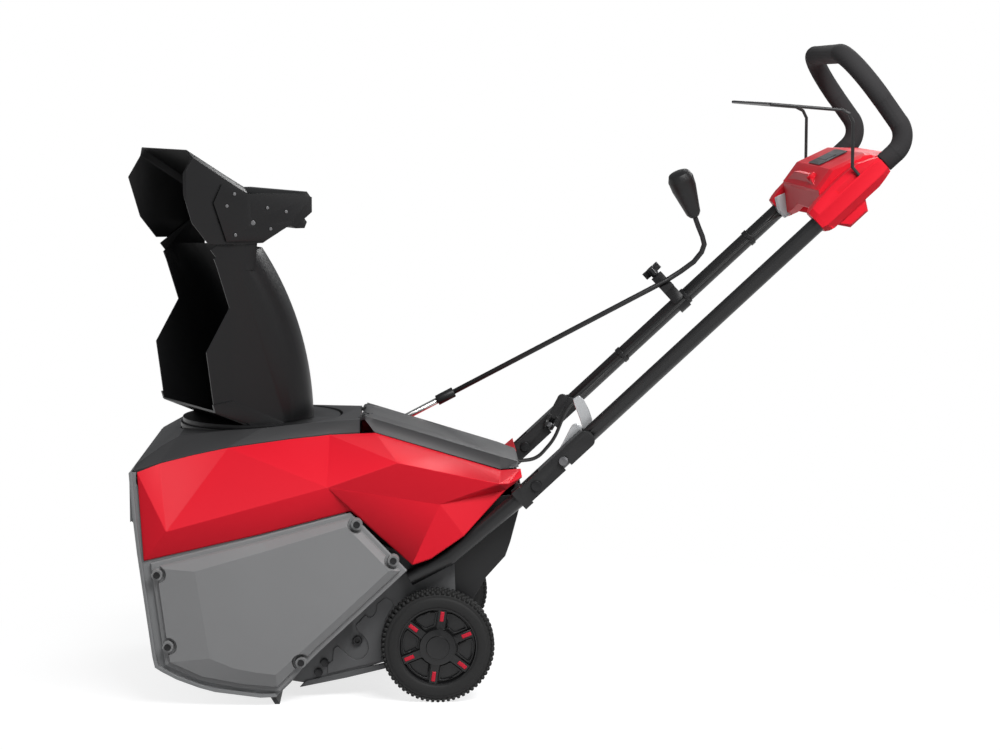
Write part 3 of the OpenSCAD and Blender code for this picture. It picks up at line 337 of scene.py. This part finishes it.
housing_paint = finish("housing powder coat", (0.20, 0.203, 0.206), 0.42, grain=1400, depth=0.12, metal=0.2)
rounded("auger_housing", "chassis", housing_paint, width=0.0008)

# ---------------------------------------------------------------- scraper bar
# A strip of hard black plastic bolted under the scroll. It scrapes the paving and wears.
bar_plastic = finish("scraper plastic", (0.012, 0.012, 0.013), 0.55, grain=500, depth=0.3)
rounded("scraper_bar", "chassis", bar_plastic, width=0.0010)

# ---------------------------------------------------------------- side covers
# Mid-grey moulded covers with a wide bevel round a flat middle, one over the belt drive.
cover_plastic = finish("cover plastic", (0.205, 0.206, 0.208), 0.38, grain=1100, depth=0.14)
cover_edge = (
    (-642, 259), (-448, 306), (-290, 347), (-191, 243), (-346, 99),
    (-418, 26), (-487, 33), (-557, 47), (-619, 76),
)
cover_middle = (
    (-563, 247), (-437, 283), (-297, 325), (-222, 247), (-368, 111),
    (-423, 61), (-457, 65), (-497, 73), (-539, 91),
)
cover_screws_at = ((-630, 240), (-613, 111), (-379, 81), (-279, 328), (-215, 263))


def inset(points, step):
    """The outline moved inwards by a step; its points run clockwise."""
    moved = []
    for before, here, after in zip(points[-1:] + points[:-1], points, points[1:] + points[:1]):
        sides = []
        for start, end in ((before, here), (here, after)):
            run = Vector((end[0] - start[0], end[1] - start[1])).normalized()
            sides.append(Vector((run.y, -run.x)))
        out = (sides[0] + sides[1]) * step / (1 + sides[0].dot(sides[1]))
        moved.append((here[0] + out.x, here[1] + out.y))
    return moved


def turned_at(x, z, sign, profile):
    """A round solid standing out of the cover at x, z, from its radii and distances out."""
    return lofted([
        [(
            (x + radius * math.cos(2 * math.pi * k / 32)) / 1000,
            sign * out / 1000,
            (z + radius * math.sin(2 * math.pi * k / 32)) / 1000,
        ) for k in range(32)]
        for radius, out in profile
    ])


for node, sign in (("belt_cover", -1), ("side_cover", 1)):
    shape = lofted([
        [(x / 1000, sign * out / 1000, z / 1000) for x, z in loop]
        for loop, out in (
            (cover_edge, 266.5), (cover_edge, 271), (inset(cover_edge, 2), 272), (inset(cover_edge, 8), 272),
            (inset(cover_edge, 10), 279), (cover_middle, 289.9),
        )
    ])
    cover = placed(node + "_skin", meshed(node + "_skin", shape))
    # A round recess down to the flange at each screw, and the screw's boss standing in it.
    for x, z in cover_screws_at:
        for operation, profile in (
            ("DIFFERENCE", ((15, 272.5), (17, 292))),
            ("UNION", ((10.5, 270), (9.5, 284.4), (7.8, 284.4), (7.4, 284.1))),
        ):
            carved(cover, meshed("form", turned_at(x, z, sign, profile)), operation)
    cover.data.shade_smooth()
    eased_edges(cover, 0.0014, 2, 7.0)
    cover.data.materials.clear()
    cover.data.materials.append(cover_plastic)
    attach(cover, "chassis")
    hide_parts(node)

# ---------------------------------------------------------------- frame plates
# Flat steel plates that carry the axle and the handle, in dark grey powder coat.
plate_paint = finish("plate powder coat", (0.085, 0.086, 0.088), 0.5, grain=1400, depth=0.12, metal=0.2)
for node in ("frame_plate_left", "frame_plate_right"):
    rounded(node, "chassis", plate_paint, width=0.0008)


def solid_piece(name, work, body, material, width, steps, angle=20.0):
    """An object of its own from a mesh in metres, its edges eased, riding a body."""
    mesh = meshed(name, work)
    mesh.materials.append(material)
    mesh.shade_smooth()
    piece = placed(name, mesh)
    eased_edges(piece, width, steps, angle)
    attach(piece, body)
    return piece


# The pressed outer face of each plate: a raised field with a rounded pocket in it, the lip
# folded along the bottom, and a socket screw in the pocket's hole.
plate_field = (
    (-335, 43), (-239, 66), (-232, 100), (-231, 141), (-215, 168), (-218, 176), (-231, 182), (-246, 170),
    (-247, 158), (-252, 149), (-260, 145), (-267, 150), (-284, 132), (-282, 123), (-270, 112), (-263, 102),
    (-261, 91), (-264, 80), (-272, 71), (-284, 68), (-295, 74), (-305, 84), (-317, 95), (-324, 89),
    (-326, 68), (-335, 60),
)
plate_lip = ((-385, 19), (-300, 36), (-228, 53), (-228, 63), (-318, 43), (-374, 31))
screw_black = finish("black oxide", (0.02, 0.02, 0.021), 0.4, grain=900, depth=0.1, metal=0.6)
for side, sign in (("left", -1), ("right", 1)):
    for name, outline, inner, outer in (("field", plate_field, 209, 213.4), ("lip", plate_lip, 207, 214.5)):
        form = lofted([
            [(x / 1000, sign * out / 1000, z / 1000) for x, z in outline] for out in (inner, outer)
        ])
        solid_piece("plate_" + name + "_" + side, form, "chassis", plate_paint, 0.0012, 2)
    screw = turned_at(-281, 104, sign, (
        (8.6, 205), (8.6, 215.6), (7.4, 216.8), (4.2, 216.8), (3.8, 213), (0.3, 213),
    ))
    solid_piece("plate_screw_" + side, screw, "chassis", screw_black, 0.0003, 1)

# ---------------------------------------------------------------- red side shells
# Faceted shells moulded in red plastic, with soft ridges between the facets.
red_plastic = finish("red plastic", (0.63, 0.008, 0.021), 0.5, grain=1500, depth=0.06, tone=0.05, shine=0.18)
for node in ("shroud_left", "shroud_right"):
    rounded(node, "chassis", red_plastic, width=0.0030, steps=3, angle=7.0)

# ---------------------------------------------------------------- deck and lid
# Dark grey mouldings: the deck carries the chute's bearing ring, the lid covers the batteries.
deck_plastic = finish("deck plastic", (0.028, 0.028, 0.029), 0.48, grain=900, depth=0.2, shine=0.4)
rounded("top_deck", "chassis", deck_plastic, width=0.0016, steps=3, angle=12.0)
rounded("battery_lid", "lid", deck_plastic, width=0.0026, steps=3, angle=12.0)

# ---------------------------------------------------------------- rear cover and battery bay
# The black tub behind the scroll, the tray in it and the two batteries.
black_plastic = finish("black plastic", (0.009, 0.009, 0.0095), 0.45, grain=900, depth=0.18, shine=0.35)
rounded("rear_cover", "chassis", black_plastic, width=0.0040, steps=3)
rounded("battery_tray", "chassis", black_plastic, width=0.0010)
for node in ("battery_left", "battery_right"):
    rounded(node, "chassis", red_plastic, width=0.0025, steps=3)

# ---------------------------------------------------------------- motor, controller and gearbox
# Cast alloy parts with cooling fins, left as cast.
cast_alloy = finish("cast alloy", (0.42, 0.43, 0.44), 0.5, grain=700, depth=0.25, metal=1.0)
for node in ("motor", "motor_controller", "chute_gearbox"):
    rounded(node, "chassis", cast_alloy, width=0.0006, steps=1)
rounded("auger_pulley", "auger", cast_alloy, width=0.0006, steps=1)

# ---------------------------------------------------------------- belt
# A ribbed rubber belt.
belt_rubber = finish("belt rubber", (0.014, 0.014, 0.014), 0.7, grain=600, depth=0.3)
rounded("drive_belt", "chassis", belt_rubber, width=0.0008, steps=1)

# ---------------------------------------------------------------- bare steel parts
# Turned and zinc-plated steel: shafts, pinion, studs and screws.
bare_steel = finish("plated steel", (0.58, 0.58, 0.57), 0.28, grain=1600, depth=0.08, metal=1.0)
for node, body in (
    ("axle", "chassis"), ("auger_shaft", "auger"), ("motor_pulley", "motor_rotor"),
    ("chute_pinion", "pinion"), ("lever_shaft", "chute_lever"),
):
    rounded(node, body, bare_steel, width=0.0005, steps=1)

# ---------------------------------------------------------------- auger
# Steel spirals on a shaft carry thick rubber paddles that throw the snow inwards and up.
spiral_steel = finish("spiral steel", (0.45, 0.455, 0.46), 0.35, grain=900, depth=0.12, metal=1.0)
rounded("auger_spiral", "auger", spiral_steel, width=0.0005, steps=1)
paddle_rubber = finish("paddle rubber", (0.014, 0.014, 0.014), 0.62, grain=500, depth=0.35)
rounded("auger_paddles", "auger", paddle_rubber, width=0.0015, steps=2)
rounded("auger_bearings", "chassis", black_plastic, width=0.0005, steps=1)

# ---------------------------------------------------------------- chute
# Satin black mouldings: the base ring, the tall chute with its toothed ring, and the
# tilting deflector.
rounded("chute_base", "chassis", black_plastic, width=0.0010)
chute_plastic = finish("chute plastic", (0.0055, 0.0055, 0.006), 0.4, grain=1000, depth=0.05, shine=0.28)
rounded("chute_shell", "chute", chute_plastic, width=0.0014, steps=3)
rounded("chute_ring_gear", "chute", black_plastic, width=0.0004, steps=1)
# The side walls end in a slanted edge under the grip.
hood_reach = (
    (-720, 700), (-720, 1020), (-380, 1020), (-380, 846), (-403, 843), (-447, 813), (-500, 811), (-500, 700),
)
hood_form = lofted([[(x / 1000, y, z / 1000) for x, z in hood_reach] for y in (-0.2, 0.2)])
rounded(
    "deflector_hood", "deflector", chute_plastic,
    width=0.0010, steps=2, angle=10.0, trim=meshed("hood_reach", hood_form),
)
rounded("deflector_grip", "deflector", chute_plastic, width=0.0018, steps=3)
rounded("deflector_trigger", "trigger", chute_plastic, width=0.0010)

# ---------------------------------------------------------------- chute lever
# A bent steel rod in satin black with a moulded knob, jointed to the gearbox shaft.
black_steel = finish("black powder coat", (0.012, 0.012, 0.0125), 0.4, grain=1500, depth=0.1, shine=0.4)
rounded("lever_rod", "chute_lever", black_steel, width=0.0003, steps=1)
rounded("lever_coupling", "chute_lever", black_plastic, width=0.0008)
rounded("lever_knob", "chute_lever", black_plastic, width=0.0015, steps=3)

# ---------------------------------------------------------------- handle
# Round steel tube in satin black, folded at two clamped joints, with a foam-covered loop.
rounded("handle_tube", "handle", black_steel, width=0.0004, steps=1)
# Pieces on the handle are drawn along it, across it and square to it, from the fold's pivot.
along_handle = Matrix.Translation((0.038, 0, 0.390)) @ Matrix.Rotation(math.radians(-42.9), 4, "Y")
# The cheeks of each hinge bracket are narrowed to the tube and rounded at the upper end.
bracket_reach = bmesh.new()
rounded_end = [(-30, 15.8), (-30, -15.8)] + [
    (122 + 13 * math.cos(math.radians(a)), 15.8 * math.sin(math.radians(a))) for a in range(-90, 91, 15)
]
low_end = [(-24, 300), (-500, 300), (-500, -300), (-24, -300)]
for outline in (rounded_end, low_end):
    form = lofted([[Vector((s, across, n)) / 1000 for s, n in outline] for across in (-300, 300)])
    bracket_reach.from_mesh(meshed("form", form))
bracket_reach.transform(along_handle)
for node in ("handle_bracket_left", "handle_bracket_right"):
    limit_mesh = bpy.data.meshes.new("bracket_reach")
    bracket_reach.to_mesh(limit_mesh)
    rounded(node, "chassis", black_steel, width=0.0008, trim=limit_mesh)
bracket_reach.free()
foam = finish("grip foam", (0.026, 0.025, 0.026), 0.9, grain=420, depth=0.6, shine=0.25)
sleeve = rounded("foam_grip", "handle", foam, width=0.0020, steps=3)
rounded("rod_bracket", "handle", black_plastic, width=0.0010)
rounded("clamp_knob", "wing_knob", black_plastic, width=0.0012, steps=2)
lever_metal = finish("lever alloy", (0.52, 0.53, 0.54), 0.34, grain=1200, depth=0.1, metal=0.6)
rounded("cam_lever_right", "cam_right", black_steel, width=0.0012, steps=2)
# The left lever carries on past its hub as a bright curved blade that stands up beside the tube.
rounded("cam_lever_left", "cam_left", lever_metal, width=0.0012, steps=2)
tube_across = 234
blade_spine = ((108, 3), (122, 5), (134, 9), (142, 18), (149, 34), (155, 52), (157, 62))
blade_half_widths = (5.0, 7.0, 9.0, 10.5, 10.5, 9.5, 6.5)
blade_loops = []
for i, (s, n) in enumerate(blade_spine):
    run = Vector(blade_spine[min(i + 1, 6)]) - Vector(blade_spine[max(i - 1, 0)])
    square = Vector((-run[1], run[0])).normalized() * blade_half_widths[i]
    blade_loops.append([
        Vector((s + a * square[0], out - tube_across, n + a * square[1])) / 1000
        for a, out in ((-1, 23), (1, 23), (1, 29), (-1, 29))
    ])
form = lofted(blade_loops)
form.transform(along_handle)
solid_piece("cam_blade_left", form, "cam_left", lever_metal, 0.0016, 3, 40.0)
cable_jacket = finish("cable jacket", (0.014, 0.014, 0.014), 0.45, grain=700, depth=0.1)


def eased(points, bend, step):
    """A path through points with its corners rounded over and its straights cut into short steps."""
    points = [Vector(p) for p in points]
    path = [points[0]]
    for before, here, after in zip(points, points[1:], points[2:]):
        reach = min(bend, (here - before).length * 0.45, (after - here).length * 0.45)
        a = here + (before - here).normalized() * reach
        b = here + (after - here).normalized() * reach
        for u in [k / 6 for k in range(7)]:
            path.append(a * (1 - u) ** 2 + here * 2 * u * (1 - u) + b * u * u)
    path.append(points[-1])
    fine = [path[0]]
    for here in path[1:]:
        start = fine[-1]
        count = max(1, math.ceil((here - start).length / step))
        fine += [start.lerp(here, k / count) for k in range(1, count + 1)]
    return fine


def swept(path, radius, sides=12):
    """A round bar along a path, with flat ends."""
    loops = []
    up = (path[1] - path[0]).orthogonal().normalized()
    for i, here in enumerate(path):
        run = (path[min(i + 1, len(path) - 1)] - path[max(i - 1, 0)]).normalized()
        up = (up - run * up.dot(run)).normalized()
        side = run.cross(up)
        loops.append([
            here + (up * math.cos(2 * math.pi * k / sides) + side * math.sin(2 * math.pi * k / sides)) * radius
            for k in range(sides)
        ])
    return lofted(loops)


# Both cables leave the rear cover beside the right hinge, bend round the fold, and run up
# inside the right tube, held by three clips.
cable_radius = 0.003
for number, shift in ((1, 0), (2, -8)):
    run = [(15, 182, 366), (60, 180, 371), (94, 181, 410), (117, 184, 468), (203, 203, 546), (463, 203, 790)]
    end = (515, 206, 838) if shift == 0 else (515, 206, 834)
    tail = (530.8, 221.5, 850.8) if shift == 0 else (537, 221.5, 842.8)
    path = eased([(x / 1000, (y + shift) / 1000, z / 1000) for x, y, z in run + [end, tail]], 0.018, 0.008)
    mesh = meshed("harness_%d" % number, swept(path, cable_radius))
    mesh.shade_smooth()
    mesh.materials.append(cable_jacket)
    cable = placed("harness_%d" % number, mesh)
    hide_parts("harness_cables")
    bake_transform(cable)
for number, s in enumerate((262, 430, 598)):
    arm = lofted([
        [Vector((s + a, across, 2 + n)) / 1000 for a, n in ((-4, -5.5), (4, -5.5), (4, 5.5), (-4, 5.5))]
        for across in (189.5, 228)
    ])
    arm.transform(along_handle)
    solid_piece("cable_clip_%d" % number, arm, "handle", black_plastic, 0.0018, 3)
    band = lofted([
        [Vector((
            s + a,
            tube_across + r * math.cos(k * math.pi / 16),
            r * math.sin(k * math.pi / 16),
        )) / 1000 for k in range(32)]
        for a, r in ((-5, 14.3), (-5, 16.4), (5, 16.4), (5, 14.3))
    ])
    band.transform(along_handle)
    solid_piece("clip_band_%d" % number, band, "handle", black_plastic, 0.0005, 2)
rounded("bail", "bail_bar", black_steel, width=0.0003, steps=1)

# ---------------------------------------------------------------- switch box
# A red moulding across both tubes, with the lamps, a display window and the start button.


def pod_section(along, grow):
    """The pod's section across the handle: a box with a broad bevel above and a narrow one below."""
    return [Vector((along, across, 2 + (up - 2) * grow)) for across, up in (
        (208, -21), (208, 30), (222, 35), (243, 34), (261.8, 15), (261.8, -9), (251, -23), (224, -25),
    )]


envelope = bmesh.new()
forms = []
for sign in (-1, 1):
    pod = [pod_section(along, grow) for along, grow in ((677, 0.72), (688, 1.0), (818, 1.0), (831.5, 0.72))]
    forms.append((sign, pod))
    foot = []
    for across, draw in ((224, 3), (229, 0), (243, 0), (249, 4)):
        foot.append([Vector((s, across, n)) for s, n in (
            (697 + draw, -18), (715 + draw, -42.5 + draw), (757 - draw, -42.5 + draw), (771 - draw, -18),
        )])
    forms.append((sign, foot))
forms.append((1, [
    [Vector((s, across, n)) for s, n in (
        (720 + tuck, 14 - tuck), (718 + tuck, 42 - tuck), (762, 51 - tuck), (825 - tuck, 31 - tuck),
        (866 - tuck, -8), (857 - tuck, -21 + tuck), (770, -25 + tuck), (738 + tuck, -15),
    )]
    for across, tuck in ((-212, 4), (-188, 0), (-30, 0), (30, 0), (188, 0), (212, 4))
]))
for sign, loops in forms:
    form = lofted([[Vector((p.x, sign * p.y, p.z)) / 1000 for p in loop] for loop in loops])
    envelope.from_mesh(meshed("form", form))
envelope_mesh = meshed("switch_box_envelope", envelope)
envelope_mesh.transform(along_handle)
rounded(
    "switch_housing", "handle", red_plastic,
    width=0.0018, steps=3, angle=9.0, trim=envelope_mesh,
)
frame_grey = finish("display frame", (0.05, 0.05, 0.052), 0.45, grain=900, depth=0.15)
rounded("display_panel", "handle", frame_grey, width=0.0007, steps=2)
window = finish("display window", (0.012, 0.012, 0.014), 0.1, grain=300, depth=0.0)
# The window lies on the panel's slope and stands a little proud of it.
panel_start, panel_height, panel_fall = 767, 51.0, 0.3037
glass = lofted([
    [Vector((s, across, panel_height - (s - panel_start) * panel_fall + lift)) / 1000 for s, across in (
        (782 + tuck, -44 + tuck), (803 - tuck, -44 + tuck), (803 - tuck, 44 - tuck), (782 + tuck, 44 - tuck),
    )]
    for tuck, lift in ((0, 1.2), (0, 1.9), (1, 2.3))
])
glass_mesh = meshed("display_glass", glass)
glass_mesh.transform(along_handle)
glass_mesh.materials.append(window)
glass_piece = placed("display_glass", glass_mesh)
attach(glass_piece, "handle")
lens = finish("frosted lens", (0.50, 0.51, 0.52), 0.25, grain=500, depth=0.12)
# Each lens wraps the lower inner corner of its pod, down to the end.
for side, sign in (("left", -1), ("right", 1)):
    form = lofted([
        [Vector((s + tuck, sign * across, n)) / 1000 for s, n in (
            (674, -16), (672, 2), (686, 27), (706, 20), (712, -4), (700, -20),
        )]
        for across, tuck in ((201, 5), (205, 0), (226, 0))
    ])
    form.transform(along_handle)
    lens_piece = solid_piece("lens_" + side, form, "handle", lens, 0.0012, 2)
    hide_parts("light_lenses")
# The red front panel under the display runs down between the pods as a hollowed skirt.
form = lofted([
    [Vector((s + tuck, across, n + tuck)) / 1000 for s, n in (
        (721, 40), (684, -10), (690, -22), (742, -16), (745, 20),
    )]
    for across, tuck in ((-209, 0), (-150, 5), (-80, 16), (80, 16), (150, 5), (209, 0))
])
form.transform(along_handle)
solid_piece("switch_skirt", form, "handle", red_plastic, 0.0016, 2, 9.0)
rounded("start_button", "button", red_plastic, width=0.0015, steps=3)

# ---------------------------------------------------------------- fasteners
# Black oxide screws in the covers, and the bolts of the plates and handle joints.
rounded("cover_screws", "chassis", screw_black, width=0.0006, steps=2)
screw_grey = finish("zinc flake", (0.16, 0.16, 0.165), 0.42, grain=900, depth=0.1, metal=0.8)
rounded("deflector_screws", "deflector", screw_grey, width=0.0004, steps=2)
rounded("clamp_studs", "handle", screw_grey, width=0.0005, steps=1)

# ---------------------------------------------------------------- wheels
# Moulded wheels with black rims, red bars between the spokes and blocky treads.
tyre_rubber = finish("tyre rubber", (0.009, 0.009, 0.009), 0.72, grain=450, depth=0.35, shine=0.4)


def tread_nodes():
    """Copies of one knob round the tyre, in rows that are half a step apart."""
    group = bpy.data.node_groups.new("tread", "GeometryNodeTree")
    face = group.interface
    face.new_socket("Geometry", in_out="INPUT", socket_type="NodeSocketGeometry")
    for label, kind, value in (
        ("Knobs", "NodeSocketInt", 60),
        ("Radius", "NodeSocketFloat", 0.0985),
        ("Row step", "NodeSocketFloat", 0.013),
    ):
        face.new_socket(label, in_out="INPUT", socket_type=kind).default_value = value
    face.new_socket("Material", in_out="INPUT", socket_type="NodeSocketMaterial")
    face.new_socket("Geometry", in_out="OUTPUT", socket_type="NodeSocketGeometry")
    n, link = group.nodes, group.links.new
    got, gives = n.new("NodeGroupInput"), n.new("NodeGroupOutput")
    rows = n.new("GeometryNodeJoinGeometry")
    ring = n.new("GeometryNodeMeshCircle")
    link(got.outputs["Knobs"], ring.inputs["Vertices"])
    link(got.outputs["Radius"], ring.inputs["Radius"])
    place = n.new("GeometryNodeInputPosition")
    aim_out = n.new("FunctionNodeAlignRotationToVector")
    aim_out.axis = "X"
    aim_out.pivot_axis = "Z"
    link(place.outputs[0], aim_out.inputs["Vector"])
    copies = n.new("GeometryNodeInstanceOnPoints")
    link(ring.outputs["Mesh"], copies.inputs["Points"])
    link(got.outputs["Geometry"], copies.inputs["Instance"])
    link(aim_out.outputs["Rotation"], copies.inputs["Rotation"])
    half = n.new("ShaderNodeMath")
    half.operation = "DIVIDE"
    half.inputs[0].default_value = math.pi
    link(got.outputs["Knobs"], half.inputs[1])
    for row in (-1, 0, 1):
        shift = n.new("ShaderNodeMath")
        shift.operation = "MULTIPLY"
        shift.inputs[1].default_value = row
        link(got.outputs["Row step"], shift.inputs[0])
        where = n.new("ShaderNodeCombineXYZ")
        link(shift.outputs[0], where.inputs["Z"])
        turned = n.new("ShaderNodeCombineXYZ")
        if row:
            link(half.outputs[0], turned.inputs["Z"])
        moved = n.new("GeometryNodeTransform")
        link(copies.outputs["Instances"], moved.inputs["Geometry"])
        link(where.outputs[0], moved.inputs["Translation"])
        link(turned.outputs[0], moved.inputs["Rotation"])
        link(moved.outputs["Geometry"], rows.inputs[0])
    real = n.new("GeometryNodeRealizeInstances")
    painted = n.new("GeometryNodeSetMaterial")
    link(rows.outputs[0], real.inputs[0])
    link(real.outputs[0], painted.inputs["Geometry"])
    link(got.outputs["Material"], painted.inputs["Material"])
    link(painted.outputs[0], gives.inputs["Geometry"])
    return group


def revolved(name, profile, steps):
    """A closed profile of (radius, place along the axis) turned about the Z axis."""
    work = bmesh.new()
    loops = []
    for k in range(steps):
        turn = 2 * math.pi * k / steps
        loops.append([work.verts.new((r * math.cos(turn), r * math.sin(turn), z)) for r, z in profile])
    for k in range(steps):
        here, there = loops[k], loops[(k + 1) % steps]
        for i in range(len(profile)):
            j = (i + 1) % len(profile)
            work.faces.new((here[i], here[j], there[j], there[i]))
    bmesh.ops.recalc_face_normals(work, faces=work.faces)
    return meshed(name, work)


def knob_mesh():
    """One tread knob: a small block, narrower at its top, with eased edges."""
    work = bmesh.new()
    bmesh.ops.create_cube(work, size=1.0)
    for v in work.verts:
        out, width, length = (0.0028, 0.0052, 0.0105) if v.co.x > 0 else (-0.0035, 0.0066, 0.0118)
        v.co = Vector((out, v.co.y * width, v.co.z * length))
    bmesh.ops.bevel(work, geom=work.edges[:], offset=0.0007, segments=2, affect="EDGES", clamp_overlap=True)
    mesh = meshed("knob", work)
    mesh.shade_smooth()
    return mesh


tread_group = tread_nodes()
rim_plastic = finish("rim plastic", (0.0075, 0.0075, 0.008), 0.36, grain=900, depth=0.12, shine=0.4)
insert_red = finish("insert red", (0.50, 0.010, 0.030), 0.42, grain=1500, depth=0.06, tone=0.05, shine=0.3)
tyre_profile = (
    (0.0701, 0.002), (0.074, 0.0007), (0.079, 0.0), (0.085, 0.0002), (0.088, 0.0012), (0.0895, 0.003),
    (0.0905, 0.0026), (0.094, 0.0035), (0.0968, 0.0055), (0.0982, 0.009), (0.0986, 0.021), (0.0982, 0.033),
    (0.0968, 0.0365), (0.094, 0.0385), (0.0905, 0.0394), (0.0895, 0.039), (0.088, 0.0408),
    (0.085, 0.0418), (0.079, 0.042), (0.074, 0.0413), (0.0701, 0.040),
)
wheel_across, half_tyre = 0.261, 0.021
for side, sign in (("left", -1), ("right", 1)):
    body = "wheel_" + side
    low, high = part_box("tyre_" + side)
    # The wheel's axis runs along Y; its outer face is the low end of the profile.
    seat = Matrix.Translation(((low[0] + high[0]) / 2, sign * wheel_across, (low[2] + high[2]) / 2))
    seat = seat @ Matrix.Rotation(math.radians(90 * sign), 4, "X")
    carcass_mesh = revolved("tyre_carcass_" + side, tyre_profile, 120)
    carcass_mesh.transform(seat)
    carcass_mesh.shade_smooth()
    carcass_mesh.materials.append(tyre_rubber)
    carcass = placed("tyre_carcass_" + side, carcass_mesh)
    tread = placed("tyre_tread_" + side, knob_mesh())
    wrap = tread.modifiers.new("tread", "NODES")
    wrap.node_group = tread_group
    sockets = [s for s in tread_group.interface.items_tree if s.item_type == "SOCKET"]
    ids = {s.name: s.identifier for s in sockets if s.in_out == "INPUT"}
    for label, value in (("Knobs", 66), ("Radius", 0.0984), ("Row step", 0.0128), ("Material", tyre_rubber)):
        wrap[ids[label]] = value
    shown_as_plain(tread)
    tread.data.transform(seat @ Matrix.Translation((0, 0, half_tyre)))
    for piece in (carcass, tread):
        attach(piece, body)
    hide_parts("tyre_" + side)
    rounded("wheel_rim_" + side, body, rim_plastic, width=0.0012, steps=3)
    rounded("wheel_inserts_" + side, body, insert_red, width=0.0012, steps=3)
    # A raised lip round each of the six pockets.
    lips = bmesh.new()
    for k in range(6):
        outer, inner = [], []
        for loop, bounds in (
            (outer, ((0.0635, 21.5, 1), (0.036, 16.0, -1))),
            (inner, ((0.0612, 19.0, 1), (0.0384, 12.5, -1))),
        ):
            for radius, half, way in bounds:
                for i in range(7):
                    turn = -sign * math.radians(k * 60 + 8 + way * half * (i - 3) / 3)
                    corner = radius - way * (0.0016 if i in (0, 6) else 0.0)
                    loop.append((corner * math.cos(turn), corner * math.sin(turn)))
        for a, b, c, d in zip(outer, outer[1:] + outer[:1], inner[1:] + inner[:1], inner):
            low = [lips.verts.new((x, y, 0.0145)) for x, y in (a, b, c, d)]
            high = [lips.verts.new((x, y, 0.0088)) for x, y in (a, b, c, d)]
            lips.faces.new(high)
            lips.faces.new(low[::-1])
            for i in range(4):
                j = (i + 1) % 4
                lips.faces.new((low[i], low[j], high[j], high[i]))
    bmesh.ops.remove_doubles(lips, verts=lips.verts, dist=0.00002)
    lips.transform(seat)
    bmesh.ops.recalc_face_normals(lips, faces=lips.faces)
    solid_piece("rim_lips_" + side, lips, body, rim_plastic, 0.0005, 2, 30.0)
